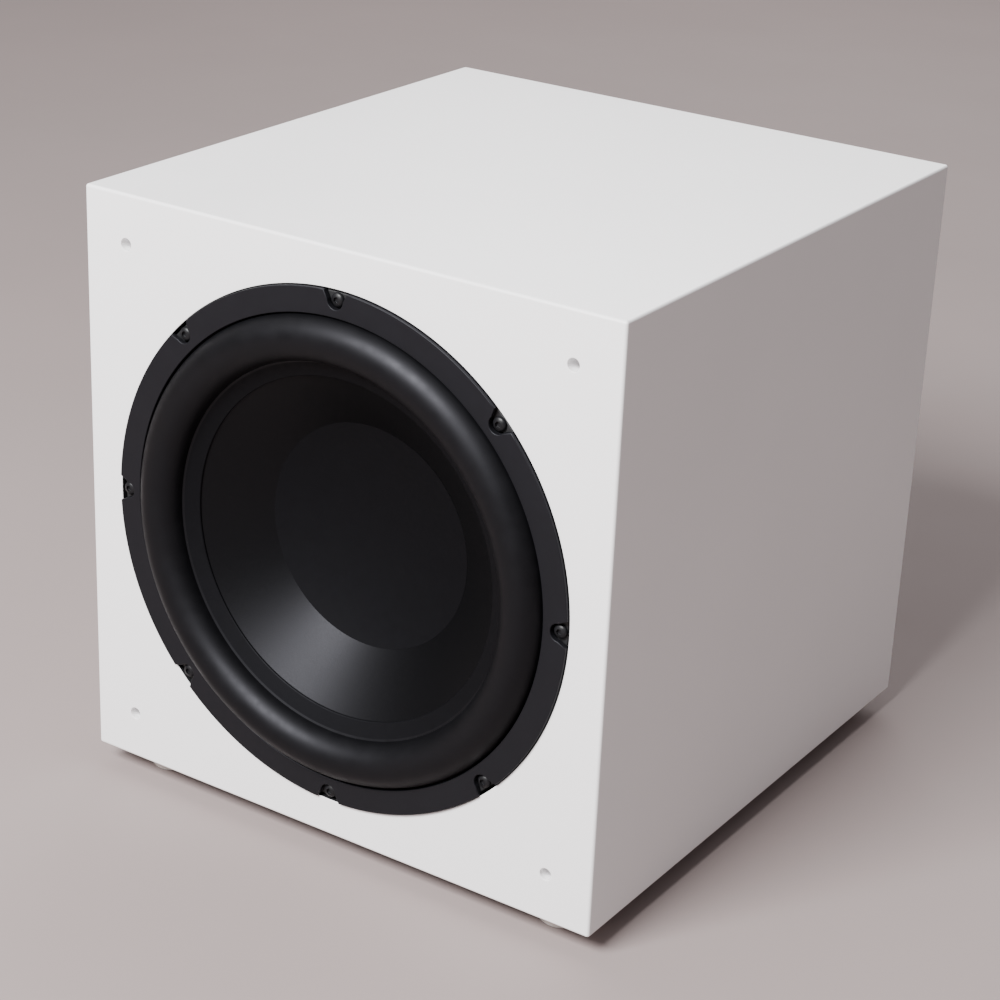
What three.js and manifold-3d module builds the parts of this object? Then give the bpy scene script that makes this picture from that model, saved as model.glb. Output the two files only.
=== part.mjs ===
// An active subwoofer: a lacquered MDF cabinet on four feet, a 12-inch long-throw driver behind a
// trim ring, and a plate amplifier on the rear panel. Units are millimetres, +Z is up, and the
// driver faces -Y. The origin is on the floor, at the centre of the whole object's footprint.
//
// Two frames are used below. Driver pieces are drawn about the driver's axis with y as the depth
// behind the baffle's face. Amplifier pieces are drawn from the rear panel's face, with y outwards.

import * as THREE from "three";
import { mergeVertices } from "three/addons/utils/BufferGeometryUtils.js";
import Module from "manifold-3d";

// ---------------------------------------------------------------- driving dimensions

const FIT = 0.3; // gap between two pieces that touch
const CABINET = { width: 360, height: 360, depth: 377, wall: 18, baffle: 25 };
const FOOT = { height: 14, topRadius: 17, baseRadius: 15, insetX: 35, insetY: 31 };
const FOOT_SCREW = { headRadius: 4.6, headHeight: 2.4, shank: 2, length: 20 };
const FOOT_WELL = { radius: 6, depth: 8, pilot: 16 };

const ROLL = { middle: 126.6, radius: 13.8, wall: 1.2, plane: 3 }; // the surround's half roll
const RING = { inner: 141, outer: 156.7, proud: 2.1, back: 1.5, chamfer: 0.6 };
const POCKET = { mouth: 15.7, bottomRadius: 5.2, bottomCentre: 151 };
const REBATE = { radius: 157.2, depth: 7.6 };
const CUTOUT_RADIUS = 142.5;
const FLANGE = { radius: 155, front: 1.8, back: 6 };
const DRIVER_SCREW = { count: 8, circle: 150.8, headRadius: 4.1, headHeight: 2.6, shank: 1.9, length: 20 };
const SCREW_CLEARANCE = 0.6; // how much wider a clearance hole is than its screw, in radius
const PEG_HOLE = { spacing: 300, radius: 3.6, depth: 12 };

const LAND = { inner: 102.7, front: 7.2 }; // where the surround's glued land ends on the cone
const CAP = { radius: 67, front: 33, dish: 11, wall: 1 };
const CONE = { rim: 112.4, neck: 33.4, wall: 1.9 };
const CONE_DEPTH = { rim: 4.3, land: 8.2, cap: 34, neck: 58.3 };
const FORMER = { inner: 32.3, outer: 32.9, front: 57, back: 106 };
const COIL = { inner: 33.2, outer: 34.6, front: 72, back: 106 };
const BASKET = { mouth: 141.2, throat: 91, throatDepth: 62, neck: 72, foot: 40, wall: 3 };
const SPOKES = { count: 6, windowHalf: 21, windowInner: 97, windowOuter: 133 };
const STRIP = { x: 117, y: 46.4, half: 11, tab: 13.5, lug: 3 };
const SPIDER = { inner: 33.3, outer: 83.6, depth: 65.2, wall: 0.8, wave: 2.2, pitch: 7, waves: 4 };
const TOP_PLATE = { inner: 35.3, outer: 66, front: 84, back: 94 };
const MAGNET = { inner: 45, outer: 80, front: 94.3, back: 133.7 };
const YOKE = { pole: 31.7, vent: 11, plate: 66, front: 134, back: 146 };

const BRACE = { front: 196, wall: 18, windowHalf: 115, corner: 30 };
const WADDING = { thickness: 20, front: 217, back: 356, margin: 4 };
const LEAD = { radius: 1.5, spacing: 10, x: 106, steps: 20 };
const TINSEL = { radius: 1, spacing: 12, steps: 8 };

const AMP = { halfWidth: 115, halfHeight: 135, gasket: 1.6, plate: 3, overlap: 12 };
const PLATE_IN = 2 * FIT + AMP.gasket;
const PLATE_OUT = PLATE_IN + AMP.plate;
const SINK = { halfWidth: 80, low: -68, high: 52, base: 3.5, fin: 2.6, fins: 12, proud: 21 };
const CONTROL_Z = 104;
const KNOB = { radius: 9, height: 13, shaft: 3, shaftLength: 16, x: { volume: 72, crossover: 30 } };
const SWITCH = { lever: 3.4, slot: 9.2, height: 2.8, travel: 4.4, proud: 4 };
const SWITCH_X = { phase: -12, powerMode: -46 };
const JACK = { z: 76, x: { left: 60, right: 38 }, barrel: 4.1, bore: 1.7, nut: 6, length: 9.5, behind: 11 };
const INLET = { x: 55, z: -99, halfWidth: 13.7, halfHeight: 16.5, depth: 24, lip: 2.3, rim: 2.5 };
const HOUSING = { halfWidth: 7, halfHeight: 10, depth: 18, lip: 2, rim: 1.5 };
const ROCKER = { x: 18, z: -99, halfWidth: 5, halfLength: 7.6, tilt: 10 };
const PIVOT = { y: 0.6, radius: 1, reach: 6.2 }; // y is measured from the plate's face
const SOCKET = { z: 6.3, halfWidth: 12.2, halfHeight: 8.3, depth: 16, bladeReach: 11.5 };
const FUSE = { z: -9.6, halfWidth: 12, halfHeight: 4.9, depth: 20 };
const TRANSFORMER = { x: -52, z: -82, inner: 14, outer: 38, back: -2, length: 34 };
const BOARD = { halfWidth: 90, low: -12, high: 113, face: -39, wall: 1.6, post: 3 };
const CAPACITOR = { radius: 12.5, length: 35, z: 20, x: [-14, 18] };

const AROUND = 40; // facets round the large rings
const AROUND_MOTOR = 28; // facets round the motor's pieces
const AROUND_SMALL = 16;
const AROUND_SCREW = 8;

const ROLL_FRONT = ROLL.radius - ROLL.plane; // how far the surround stands out of the baffle
const FRONT_Y = (ROLL_FRONT - SINK.proud - CABINET.depth) / 2;
const REAR_Y = FRONT_Y + CABINET.depth;
const MIDDLE_Z = FOOT.height + CABINET.height / 2;
const HALF_WIDTH = CABINET.width / 2;
const HALF_HEIGHT = CABINET.height / 2;
const INNER_X = HALF_WIDTH - CABINET.wall - FIT;
const INNER_Z = HALF_HEIGHT - CABINET.wall - FIT;
const BEHIND_BAFFLE = CABINET.baffle + FIT;
const INLET_FACE = PLATE_OUT + FIT + INLET.lip;

// ---------------------------------------------------------------- finishes

const FINISH = {
  lacquer: { color: 0xe6e6e8, roughness: 0.42, metalness: 0 },
  wood: { color: 0xa98b67, roughness: 0.9, metalness: 0 },
  foot: { color: 0xd8d4ce, roughness: 0.5, metalness: 0 },
  wadding: { color: 0xe9e7e0, roughness: 1, metalness: 0 },
  trim: { color: 0x35343a, roughness: 0.6, metalness: 0 },
  rubber: { color: 0x202023, roughness: 0.45, metalness: 0 },
  cone: { color: 0x1b1b1d, roughness: 0.5, metalness: 0 },
  cap: { color: 0x19191b, roughness: 0.75, metalness: 0 },
  blackMetal: { color: 0x26262a, roughness: 0.5, metalness: 0.6 },
  steel: { color: 0x9a9a9c, roughness: 0.4, metalness: 0.9 },
  ferrite: { color: 0x39393b, roughness: 0.7, metalness: 0.2 },
  former: { color: 0xb8862f, roughness: 0.5, metalness: 0 },
  copper: { color: 0xb06a3c, roughness: 0.35, metalness: 1 },
  spiderCloth: { color: 0xc9a24b, roughness: 0.95, metalness: 0 },
  braid: { color: 0xb9b2a6, roughness: 0.4, metalness: 0.9 },
  foam: { color: 0x151516, roughness: 1, metalness: 0 },
  plastic: { color: 0x161618, roughness: 0.45, metalness: 0 },
  redLead: { color: 0xa8231f, roughness: 0.5, metalness: 0 },
  blackLead: { color: 0x1a1a1a, roughness: 0.5, metalness: 0 },
  board: { color: 0x1f5a34, roughness: 0.5, metalness: 0 },
  tape: { color: 0xb9a86a, roughness: 0.45, metalness: 0 },
  sleeve: { color: 0x1c2b4a, roughness: 0.3, metalness: 0 },
};

// ---------------------------------------------------------------- solid modelling

const wasm = await Module();
wasm.setup();

function solidOf(geometry) {
  const bare = geometry.clone();
  bare.deleteAttribute("normal");
  bare.deleteAttribute("uv");
  const merged = mergeVertices(bare);
  const mesh = new wasm.Mesh({
    numProp: 3,
    vertProperties: new Float32Array(merged.attributes.position.array),
    triVerts: new Uint32Array(merged.index.array),
  });
  return new wasm.Manifold(mesh);
}

function geometryOf(solid) {
  const mesh = solid.getMesh();
  const geometry = new THREE.BufferGeometry();
  geometry.setAttribute("position", new THREE.BufferAttribute(new Float32Array(mesh.vertProperties), 3));
  geometry.setIndex(new THREE.BufferAttribute(new Uint32Array(mesh.triVerts), 1));
  geometry.computeVertexNormals();
  return geometry;
}

function cut(base, ...tools) {
  return geometryOf(tools.reduce((solid, tool) => solid.subtract(solidOf(tool)), solidOf(base)));
}

function join(base, ...others) {
  return geometryOf(others.reduce((solid, other) => solid.add(solidOf(other)), solidOf(base)));
}

// A box from its lowest corner to its highest.
function box([x0, y0, z0], [x1, y1, z1]) {
  const block = new THREE.BoxGeometry(x1 - x0, y1 - y0, z1 - z0);
  return block.translate((x0 + x1) / 2, (y0 + y1) / 2, (z0 + z1) / 2);
}

// A box about a centre line along Y.
function bar(x, z, halfWidth, halfHeight, y0, y1) {
  return box([x - halfWidth, y0, z - halfHeight], [x + halfWidth, y1, z + halfHeight]);
}

// An outline of [radius, y] points turned about Y. It starts and ends on the axis, or is a loop.
function turned(outline, segments) {
  const points = outline.map(([radius, y]) => new THREE.Vector2(radius, y));
  if (THREE.ShapeUtils.isClockWise(points)) points.reverse();
  if (points[0].x > 0) points.push(points[0].clone());
  return new THREE.LatheGeometry(points, segments);
}

// A flat ring or tube between two radii, about Y.
function ring(inner, outer, y0, y1, segments) {
  return turned([[inner, y0], [outer, y0], [outer, y1], [inner, y1]], segments);
}

// A round bar or hole along Y, at x and z.
function pin(x, z, radius, y0, y1, segments = AROUND_SCREW) {
  const rod = new THREE.CylinderGeometry(radius, radius, y1 - y0, segments);
  return rod.translate(x, (y0 + y1) / 2, z);
}

// A shape drawn in x and z, as a plate from y0 to y1.
function plate(shape, y0, y1, curveSegments = AROUND_SMALL) {
  const flat = new THREE.ExtrudeGeometry(shape, { depth: y1 - y0, bevelEnabled: false, curveSegments });
  return flat.rotateX(Math.PI / 2).translate(0, y1, 0);
}

function arc(middle, plane, radius, from, to, steps) {
  return Array.from({ length: steps + 1 }, (_, step) => {
    const angle = from + ((to - from) * step) / steps;
    return [middle + radius * Math.cos(angle), plane - radius * Math.sin(angle)];
  });
}

function tube(points, radius, steps) {
  const section = new THREE.Shape();
  section.absarc(0, 0, radius, 0, 2 * Math.PI, false);
  const extrudePath = new THREE.CatmullRomCurve3(points.map((point) => new THREE.Vector3(...point)));
  return new THREE.ExtrudeGeometry(section, { steps, extrudePath, bevelEnabled: false, curveSegments: 8 });
}

// A screw along Y: the head's underside is at y = 0 and its point is towards +y.
function screw({ headRadius, headHeight, shank, length }) {
  const head = [[0, -headHeight], [headRadius * 0.7, -headHeight], [headRadius, -headHeight * 0.4]];
  const body = [[headRadius, 0], [shank, 0], [shank, length - shank], [0, length]];
  return turned([...head, ...body], AROUND_SCREW);
}

function circlePoints(count, radius) {
  return Array.from({ length: count }, (_, index) => {
    const angle = (2 * Math.PI * index) / count;
    return [radius * Math.sin(angle), radius * Math.cos(angle)];
  });
}

function piece(parent, name, geometry, finish, position = [0, 0, 0]) {
  const mesh = new THREE.Mesh(geometry, new THREE.MeshStandardMaterial(FINISH[finish]));
  mesh.name = name;
  mesh.position.set(...position);
  parent.add(mesh);
  return mesh;
}

// ---------------------------------------------------------------- cabinet

const subwoofer = new THREE.Group();

const front = new THREE.Group(); // y is the depth behind the baffle's face
front.position.set(0, FRONT_Y, MIDDLE_Z);
const rear = new THREE.Group(); // y is the distance outwards from the rear panel's face
rear.position.set(0, REAR_Y, MIDDLE_Z);
subwoofer.add(front, rear);

const screwCircle = circlePoints(DRIVER_SCREW.count, DRIVER_SCREW.circle);

function frontBaffle() {
  const half = PEG_HOLE.spacing / 2;
  const pegs = [[-half, -half], [half, -half], [-half, half], [half, half]];
  return cut(
    box([-HALF_WIDTH, 0, -HALF_HEIGHT], [HALF_WIDTH, CABINET.baffle, HALF_HEIGHT]),
    pin(0, 0, REBATE.radius, -1, REBATE.depth, AROUND),
    pin(0, 0, CUTOUT_RADIUS, -1, CABINET.baffle + 1, AROUND),
    ...pegs.map(([x, z]) => pin(x, z, PEG_HOLE.radius, -1, PEG_HOLE.depth, AROUND_SMALL)),
    ...screwCircle.map(([x, z]) => pin(x, z, DRIVER_SCREW.shank + FIT, REBATE.depth - 1, CABINET.baffle - 1)),
  );
}

function roundedWindow(half, radius) {
  const inner = half - radius;
  const shape = new THREE.Shape();
  shape.absarc(inner, inner, radius, 0, Math.PI / 2, false);
  shape.absarc(-inner, inner, radius, Math.PI / 2, Math.PI, false);
  shape.absarc(-inner, -inner, radius, Math.PI, 1.5 * Math.PI, false);
  shape.absarc(inner, -inner, radius, 1.5 * Math.PI, 2 * Math.PI, false);
  return shape;
}

function horizontalPanel(z0) {
  return box([-HALF_WIDTH, BEHIND_BAFFLE, z0], [HALF_WIDTH, CABINET.depth, z0 + CABINET.wall]);
}

function sidePanel(x0) {
  return box([x0, BEHIND_BAFFLE, -INNER_Z], [x0 + CABINET.wall, CABINET.depth, INNER_Z]);
}

// Pilot holes for the feet's screws open in the bottom panel's underside.
function bottomPanel() {
  const radius = FOOT_SCREW.shank + FIT;
  const footX = HALF_WIDTH - FOOT.insetX;
  const pilots = [FOOT.insetY, CABINET.depth - FOOT.insetY].flatMap((y) =>
    [-footX, footX].map((x) => {
      const hole = new THREE.CylinderGeometry(radius, radius, 2 * FOOT_WELL.pilot, AROUND_SCREW);
      return hole.rotateX(Math.PI / 2).translate(x, y, -HALF_HEIGHT);
    }),
  );
  return cut(horizontalPanel(-HALF_HEIGHT), ...pilots);
}

function rearPanel() {
  const rearFront = CABINET.depth - CABINET.wall;
  const cutout = [AMP.halfWidth - AMP.overlap, AMP.halfHeight - AMP.overlap];
  return cut(
    bar(0, 0, INNER_X, INNER_Z, rearFront, CABINET.depth),
    bar(0, 0, ...cutout, rearFront - 1, CABINET.depth + 1),
  );
}

function windowBrace() {
  const back = BRACE.front + BRACE.wall;
  return cut(
    bar(0, 0, INNER_X, INNER_Z, BRACE.front, back),
    plate(roundedWindow(BRACE.windowHalf, BRACE.corner), BRACE.front - 1, back + 1, 4),
  );
}

function buildCabinet() {
  piece(front, "front_baffle", frontBaffle(), "lacquer");
  piece(front, "bottom_panel", bottomPanel(), "lacquer");
  piece(front, "top_panel", horizontalPanel(HALF_HEIGHT - CABINET.wall), "lacquer");
  piece(front, "left_side_panel", sidePanel(-HALF_WIDTH), "lacquer");
  piece(front, "right_side_panel", sidePanel(HALF_WIDTH - CABINET.wall), "lacquer");
  piece(front, "rear_panel", rearPanel(), "lacquer");
  piece(front, "window_brace", windowBrace(), "wood");

  const waddingZ = INNER_Z - WADDING.margin;
  for (const [name, side] of [["wadding_left", -1], ["wadding_right", 1]]) {
    const middle = side * (INNER_X - WADDING.thickness / 2);
    const batt = bar(middle, 0, WADDING.thickness / 2, waddingZ, WADDING.front, WADDING.back);
    piece(front, name, batt, "wadding");
  }
}

// Tapered feet, each held by a screw whose head lies in a well in its base.
function buildFeet() {
  const bottom = FOOT.height - FIT;
  const foot = turned(
    [
      [FOOT_SCREW.shank + FIT, bottom],
      [FOOT_SCREW.shank + FIT, FOOT_WELL.depth],
      [FOOT_WELL.radius, FOOT_WELL.depth],
      [FOOT_WELL.radius, 0],
      [FOOT.baseRadius - 1.5, 0],
      [FOOT.baseRadius, 1.5],
      [FOOT.topRadius, bottom],
    ],
    AROUND_SMALL,
  );
  const headZ = FOOT_WELL.depth - FIT;
  const sides = [["left", -1], ["right", 1]];
  const ends = [["front", FRONT_Y + FOOT.insetY], ["rear", REAR_Y - FOOT.insetY]];
  for (const [end, y] of ends) {
    for (const [side, sign] of sides) {
      const x = sign * (HALF_WIDTH - FOOT.insetX);
      const base = piece(subwoofer, `foot_${end}_${side}`, foot, "foot", [x, y, 0]);
      const name = `foot_screw_${end}_${side}`;
      const fixing = piece(subwoofer, name, screw(FOOT_SCREW), "blackMetal", [x, y, headZ]);
      base.rotation.x = Math.PI / 2;
      fixing.rotation.x = Math.PI / 2;
    }
  }
}

// ---------------------------------------------------------------- driver

// The ring's outer edge is notched round each screw, in a U that widens a little outwards.
function trimRing() {
  const { mouth, bottomRadius, bottomCentre } = POCKET;
  const flare = Math.asin((mouth / 2 - bottomRadius) / 8);
  const pocket = new THREE.Shape();
  pocket.absarc(0, bottomCentre, bottomRadius, Math.PI + flare, 2 * Math.PI - flare, false);
  pocket.lineTo(mouth / 2, RING.outer + 1);
  pocket.lineTo(-mouth / 2, RING.outer + 1);
  const pockets = circlePoints(DRIVER_SCREW.count, 1).map(([x, z]) =>
    plate(pocket, -RING.proud - 1, RING.back + 1, 8).rotateY(Math.atan2(x, z)),
  );
  const body = turned(
    [
      [RING.inner, -RING.proud],
      [RING.outer - RING.chamfer, -RING.proud],
      [RING.outer, RING.chamfer - RING.proud],
      [RING.outer, RING.back],
      [RING.inner, RING.back],
    ],
    AROUND,
  );
  return cut(body, ...pockets);
}

function surround() {
  const outer = arc(ROLL.middle, ROLL.plane, ROLL.radius, 0, Math.PI, 6);
  const inner = arc(ROLL.middle, ROLL.plane, ROLL.radius - ROLL.wall, Math.PI, 0, 6);
  const footRadius = RING.inner + 5.8;
  const footFront = ROLL.plane - ROLL.wall / 2;
  const footBack = ROLL.plane + ROLL.wall / 2;
  return turned(
    [
      [footRadius, footFront],
      [ROLL.middle + ROLL.radius, footFront],
      ...outer,
      [LAND.inner, LAND.front],
      [LAND.inner, LAND.front + 0.6],
      [ROLL.middle - ROLL.radius + 0.4, footBack],
      ...inner,
      [ROLL.middle + ROLL.radius - 0.8, footBack],
      [footRadius, footBack],
    ],
    AROUND,
  );
}

function cone() {
  const face = [
    [CONE.neck, CONE_DEPTH.neck],
    [CAP.radius, CONE_DEPTH.cap],
    [LAND.inner, CONE_DEPTH.land],
    [CONE.rim, CONE_DEPTH.rim],
  ];
  const back = face.map(([radius, depth]) => [radius, depth + CONE.wall]).reverse();
  return turned([...face, ...back], AROUND);
}

function dustCap() {
  const steps = 5;
  const face = Array.from({ length: steps + 1 }, (_, step) => {
    const share = step / steps;
    return [CAP.radius * share, CAP.front + CAP.dish * (1 - share * share)];
  });
  const back = face.map(([radius, depth]) => [radius * 0.99, depth + CAP.wall]).reverse();
  return turned([...face, ...back], AROUND_MOTOR);
}

function spider() {
  const middle = [[SPIDER.inner, SPIDER.depth], [SPIDER.inner + 5, SPIDER.depth]];
  for (let wave = 0; wave < SPIDER.waves; wave += 1) {
    const side = wave % 2 ? 1 : -1;
    middle.push([SPIDER.inner + 8 + wave * SPIDER.pitch, SPIDER.depth + side * SPIDER.wave]);
  }
  middle.push([SPIDER.outer - 12, SPIDER.depth], [SPIDER.outer, SPIDER.depth]);
  const front = middle.map(([radius, depth]) => [radius, depth - SPIDER.wall / 2]);
  const back = middle.map(([radius, depth]) => [radius, depth + SPIDER.wall / 2]).reverse();
  return turned([...front, ...back], AROUND_MOTOR);
}

// A cast frame: a flange with a seat for the surround, a vented cone of six spokes, a ledge for the
// spider, and a rear flange on the motor's top plate.
function basket() {
  const seat = ROLL.plane + ROLL.wall / 2 + FIT;
  const seatRadius = FLANGE.radius - 6.6;
  const shoulder = 26.5;
  const ledge = SPIDER.depth + 1.2;
  const ledgeRadius = SPIDER.outer + 0.8;
  const foot = TOP_PLATE.front - FIT;
  const body = turned(
    [
      [FLANGE.radius, FLANGE.front],
      [FLANGE.radius, FLANGE.back],
      [BASKET.mouth, FLANGE.back],
      [BASKET.mouth - 1, shoulder],
      [BASKET.throat, BASKET.throatDepth],
      [ledgeRadius + 2.1, ledge + BASKET.wall],
      [BASKET.neck, ledge + BASKET.wall],
      [BASKET.neck - BASKET.wall, foot],
      [BASKET.foot, foot],
      [BASKET.foot, foot - BASKET.wall],
      [BASKET.neck - 2 * BASKET.wall, foot - BASKET.wall],
      [BASKET.neck - 2, ledge],
      [ledgeRadius, ledge],
      [BASKET.throat - BASKET.wall, BASKET.throatDepth - 2],
      [BASKET.mouth - 4.2, shoulder - 2],
      [BASKET.mouth - 3.2, seat],
      [seatRadius, seat],
      [seatRadius, FLANGE.front],
    ],
    AROUND_MOTOR,
  );
  const halfWindow = THREE.MathUtils.degToRad(SPOKES.windowHalf);
  const vent = new THREE.Shape();
  vent.absarc(0, 0, SPOKES.windowOuter, -halfWindow, halfWindow, false);
  vent.absarc(0, 0, SPOKES.windowInner, halfWindow, -halfWindow, true);
  const vents = Array.from({ length: SPOKES.count }, (_, index) =>
    plate(vent, 2 * FLANGE.back, ledge - 0.4, 4).rotateY((2 * Math.PI * (index + 0.5)) / SPOKES.count),
  );
  const holes = screwCircle.map(([x, z]) => pin(x, z, DRIVER_SCREW.shank + SCREW_CLEARANCE, 0, FLANGE.back + 1));
  return cut(body, ...vents, ...holes);
}

function driverGasket() {
  const body = ring(CUTOUT_RADIUS + 0.5, FLANGE.radius, FLANGE.back + FIT, REBATE.depth - FIT, AROUND_MOTOR);
  return cut(body, ...screwCircle.map(([x, z]) => pin(x, z, DRIVER_SCREW.shank + SCREW_CLEARANCE, 5, 9)));
}

function poleYoke() {
  return turned(
    [
      [YOKE.vent, TOP_PLATE.front],
      [YOKE.pole - 1, TOP_PLATE.front],
      [YOKE.pole, TOP_PLATE.front + 1],
      [YOKE.pole, YOKE.front],
      [YOKE.plate, YOKE.front],
      [YOKE.plate, YOKE.back - 2],
      [YOKE.plate - 2, YOKE.back],
      [YOKE.vent, YOKE.back],
    ],
    AROUND_MOTOR,
  );
}

// The strip lies on the outside of the spoke at +X, along the basket's slope.
function terminalStrip() {
  const { half, tab, lug } = STRIP;
  const lugZ = TINSEL.spacing / 2;
  const [under, over] = [-1.4, 1.6];
  const strip = join(
    box([-half, under, -half], [half, over, half]),
    box([lug, under, -lugZ - 1.5 * lug], [tab, over, lugZ + 1.5 * lug]),
    ...[-lugZ, lugZ].map((z) => box([lug + 2, over - 0.1, z - lug], [tab - 0.5, over + 0.7, z + lug])),
  );
  const slope = Math.atan2(26.5 - BASKET.throatDepth, BASKET.mouth - 1 - BASKET.throat);
  return strip.rotateZ(slope).translate(STRIP.x, STRIP.y, 0);
}

function buildDriver() {
  piece(front, "driver_gasket", driverGasket(), "foam");
  piece(front, "basket", basket(), "blackMetal");
  piece(front, "trim_ring", trimRing(), "trim");
  piece(front, "surround", surround(), "rubber");
  piece(front, "cone", cone(), "cone");
  piece(front, "dust_cap", dustCap(), "cap");
  const former = ring(FORMER.inner, FORMER.outer, FORMER.front, FORMER.back, AROUND_MOTOR);
  piece(front, "voice_coil_former", former, "former");
  piece(front, "voice_coil", ring(COIL.inner, COIL.outer, COIL.front, COIL.back, AROUND_MOTOR), "copper");
  piece(front, "spider", spider(), "spiderCloth");
  const topPlate = ring(TOP_PLATE.inner, TOP_PLATE.outer, TOP_PLATE.front, TOP_PLATE.back, AROUND_MOTOR);
  piece(front, "top_plate", topPlate, "steel");
  piece(front, "magnet", ring(MAGNET.inner, MAGNET.outer, MAGNET.front, MAGNET.back, AROUND_MOTOR), "ferrite");
  piece(front, "pole_yoke", poleYoke(), "steel");
  piece(front, "terminal_strip", terminalStrip(), "plastic");
  const headUnderside = FLANGE.front - FIT;
  screwCircle.forEach(([x, z], index) => {
    piece(front, `driver_screw_${index + 1}`, screw(DRIVER_SCREW), "blackMetal", [x, headUnderside, z]);
  });
  for (const [name, side] of [["tinsel_lead_positive", 1], ["tinsel_lead_negative", -1]]) {
    const z = (side * TINSEL.spacing) / 2;
    const route = [[98, 48.8, z], [91, 52, z], [81, 53.4, z], [71, 49, z], [62.5, 42.2, z]];
    piece(front, name, tube(route, TINSEL.radius, TINSEL.steps), "braid");
  }
}

// ---------------------------------------------------------------- internal wiring

function leadRoute(side) {
  const near = (side * TINSEL.spacing) / 2;
  const clipped = (side * LEAD.spacing) / 2;
  return [
    [129.5, 44.2, near],
    [137, 60, near],
    [133, 100, near],
    [117, 150, clipped],
    [LEAD.x, 185, clipped],
    [LEAD.x, 205, clipped],
    [LEAD.x, 225, clipped],
    [98, 265, clipped + 4],
    [80, 298, clipped + 14],
    [74, 320, clipped + 20],
    [74, CABINET.depth + BOARD.face - BOARD.wall - 1, clipped + 20],
  ];
}

function buildWiring() {
  piece(front, "lead_positive", tube(leadRoute(1), LEAD.radius, LEAD.steps), "redLead");
  piece(front, "lead_negative", tube(leadRoute(-1), LEAD.radius, LEAD.steps), "blackLead");
  const clip = cut(
    box([LEAD.x - 4, 199, -LEAD.spacing], [BRACE.windowHalf - FIT, 211, LEAD.spacing]),
    ...[1, -1].map((side) => pin(LEAD.x, (side * LEAD.spacing) / 2, LEAD.radius + 0.5, 198, 212)),
  );
  piece(front, "lead_clip", clip, "plastic");
}

// ---------------------------------------------------------------- plate amplifier

function ampPlate() {
  const reach = [PLATE_IN - 1, PLATE_OUT + 1];
  const knobHoles = Object.values(KNOB.x).map((x) => pin(x, CONTROL_Z, KNOB.shaft + 0.6, ...reach, AROUND_SMALL));
  const slots = Object.values(SWITCH_X).map((x) =>
    bar(x, CONTROL_Z, SWITCH.slot / 2, SWITCH.height / 2 + 0.4, ...reach),
  );
  const jacks = Object.values(JACK.x).map((x) => pin(x, JACK.z, JACK.barrel + 0.5, ...reach, AROUND_SMALL));
  return cut(
    bar(0, 0, AMP.halfWidth, AMP.halfHeight, PLATE_IN, PLATE_OUT),
    ...knobHoles,
    ...slots,
    ...jacks,
    bar(INLET.x, INLET.z, INLET.halfWidth + FIT, INLET.halfHeight + FIT, ...reach),
    bar(ROCKER.x, ROCKER.z, HOUSING.halfWidth + FIT, HOUSING.halfHeight + FIT, ...reach),
  );
}

function heatSink() {
  const shape = new THREE.Shape();
  const base = PLATE_OUT + FIT;
  const pitch = (2 * SINK.halfWidth - SINK.fin) / (SINK.fins - 1);
  shape.moveTo(-SINK.halfWidth, base);
  shape.lineTo(SINK.halfWidth, base);
  for (let fin = SINK.fins - 1; fin >= 0; fin -= 1) {
    const x = -SINK.halfWidth + fin * pitch;
    if (fin < SINK.fins - 1) shape.lineTo(x + SINK.fin, base + SINK.base);
    shape.lineTo(x + SINK.fin, SINK.proud);
    shape.lineTo(x, SINK.proud);
    if (fin > 0) shape.lineTo(x, base + SINK.base);
  }
  shape.closePath();
  const profile = new THREE.ExtrudeGeometry(shape, { depth: SINK.high - SINK.low, bevelEnabled: false });
  return profile.translate(0, 0, SINK.low);
}

function knob() {
  const base = PLATE_OUT + 0.8;
  const top = base + KNOB.height;
  const body = turned(
    [
      [0, base - KNOB.shaftLength],
      [KNOB.shaft, base - KNOB.shaftLength],
      [KNOB.shaft, base],
      [KNOB.radius, base],
      [KNOB.radius - 0.7, top - 1],
      [KNOB.radius - 1.7, top],
      [0, top],
    ],
    AROUND_SMALL,
  );
  const pointer = box([-0.8, top - 1, 2], [0.8, top + 1, KNOB.radius + 1]);
  return cut(body, pointer);
}

// A slide switch's lever with the slider behind the plate. It rests at the low-x end of its slot.
function switchLever() {
  const sliderHalf = SWITCH.slot / 2 + SWITCH.travel / 2 + FIT;
  const slider = bar(0, 0, sliderHalf, SWITCH.height, PLATE_IN - 2.5, PLATE_IN - 0.5);
  const lever = bar(0, 0, SWITCH.lever / 2, SWITCH.height / 2, PLATE_IN - 1.5, PLATE_OUT + SWITCH.proud);
  return join(slider, lever);
}

// An inlet with a mains socket above a fuse drawer's slot.
function mainsInlet() {
  const lipBase = PLATE_OUT + FIT;
  const socketBack = INLET_FACE - SOCKET.depth;
  const body = join(
    bar(0, 0, INLET.halfWidth, INLET.halfHeight, PLATE_OUT - INLET.depth, lipBase + 1),
    bar(0, 0, INLET.halfWidth + INLET.rim, INLET.halfHeight + INLET.rim, lipBase, INLET_FACE),
  );
  const hollow = cut(
    body,
    bar(0, SOCKET.z, SOCKET.halfWidth, SOCKET.halfHeight, socketBack, INLET_FACE + 1),
    bar(0, FUSE.z, FUSE.halfWidth, FUSE.halfHeight, INLET_FACE - FUSE.depth, INLET_FACE + 1),
  );
  const blades = [[0, 10.5], [-7, 6.5], [7, 6.5]];
  const bladeTip = socketBack + SOCKET.bladeReach;
  return join(hollow, ...blades.map(([x, z]) => bar(x, z, 1, 2, socketBack - 1, bladeTip)));
}

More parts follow.
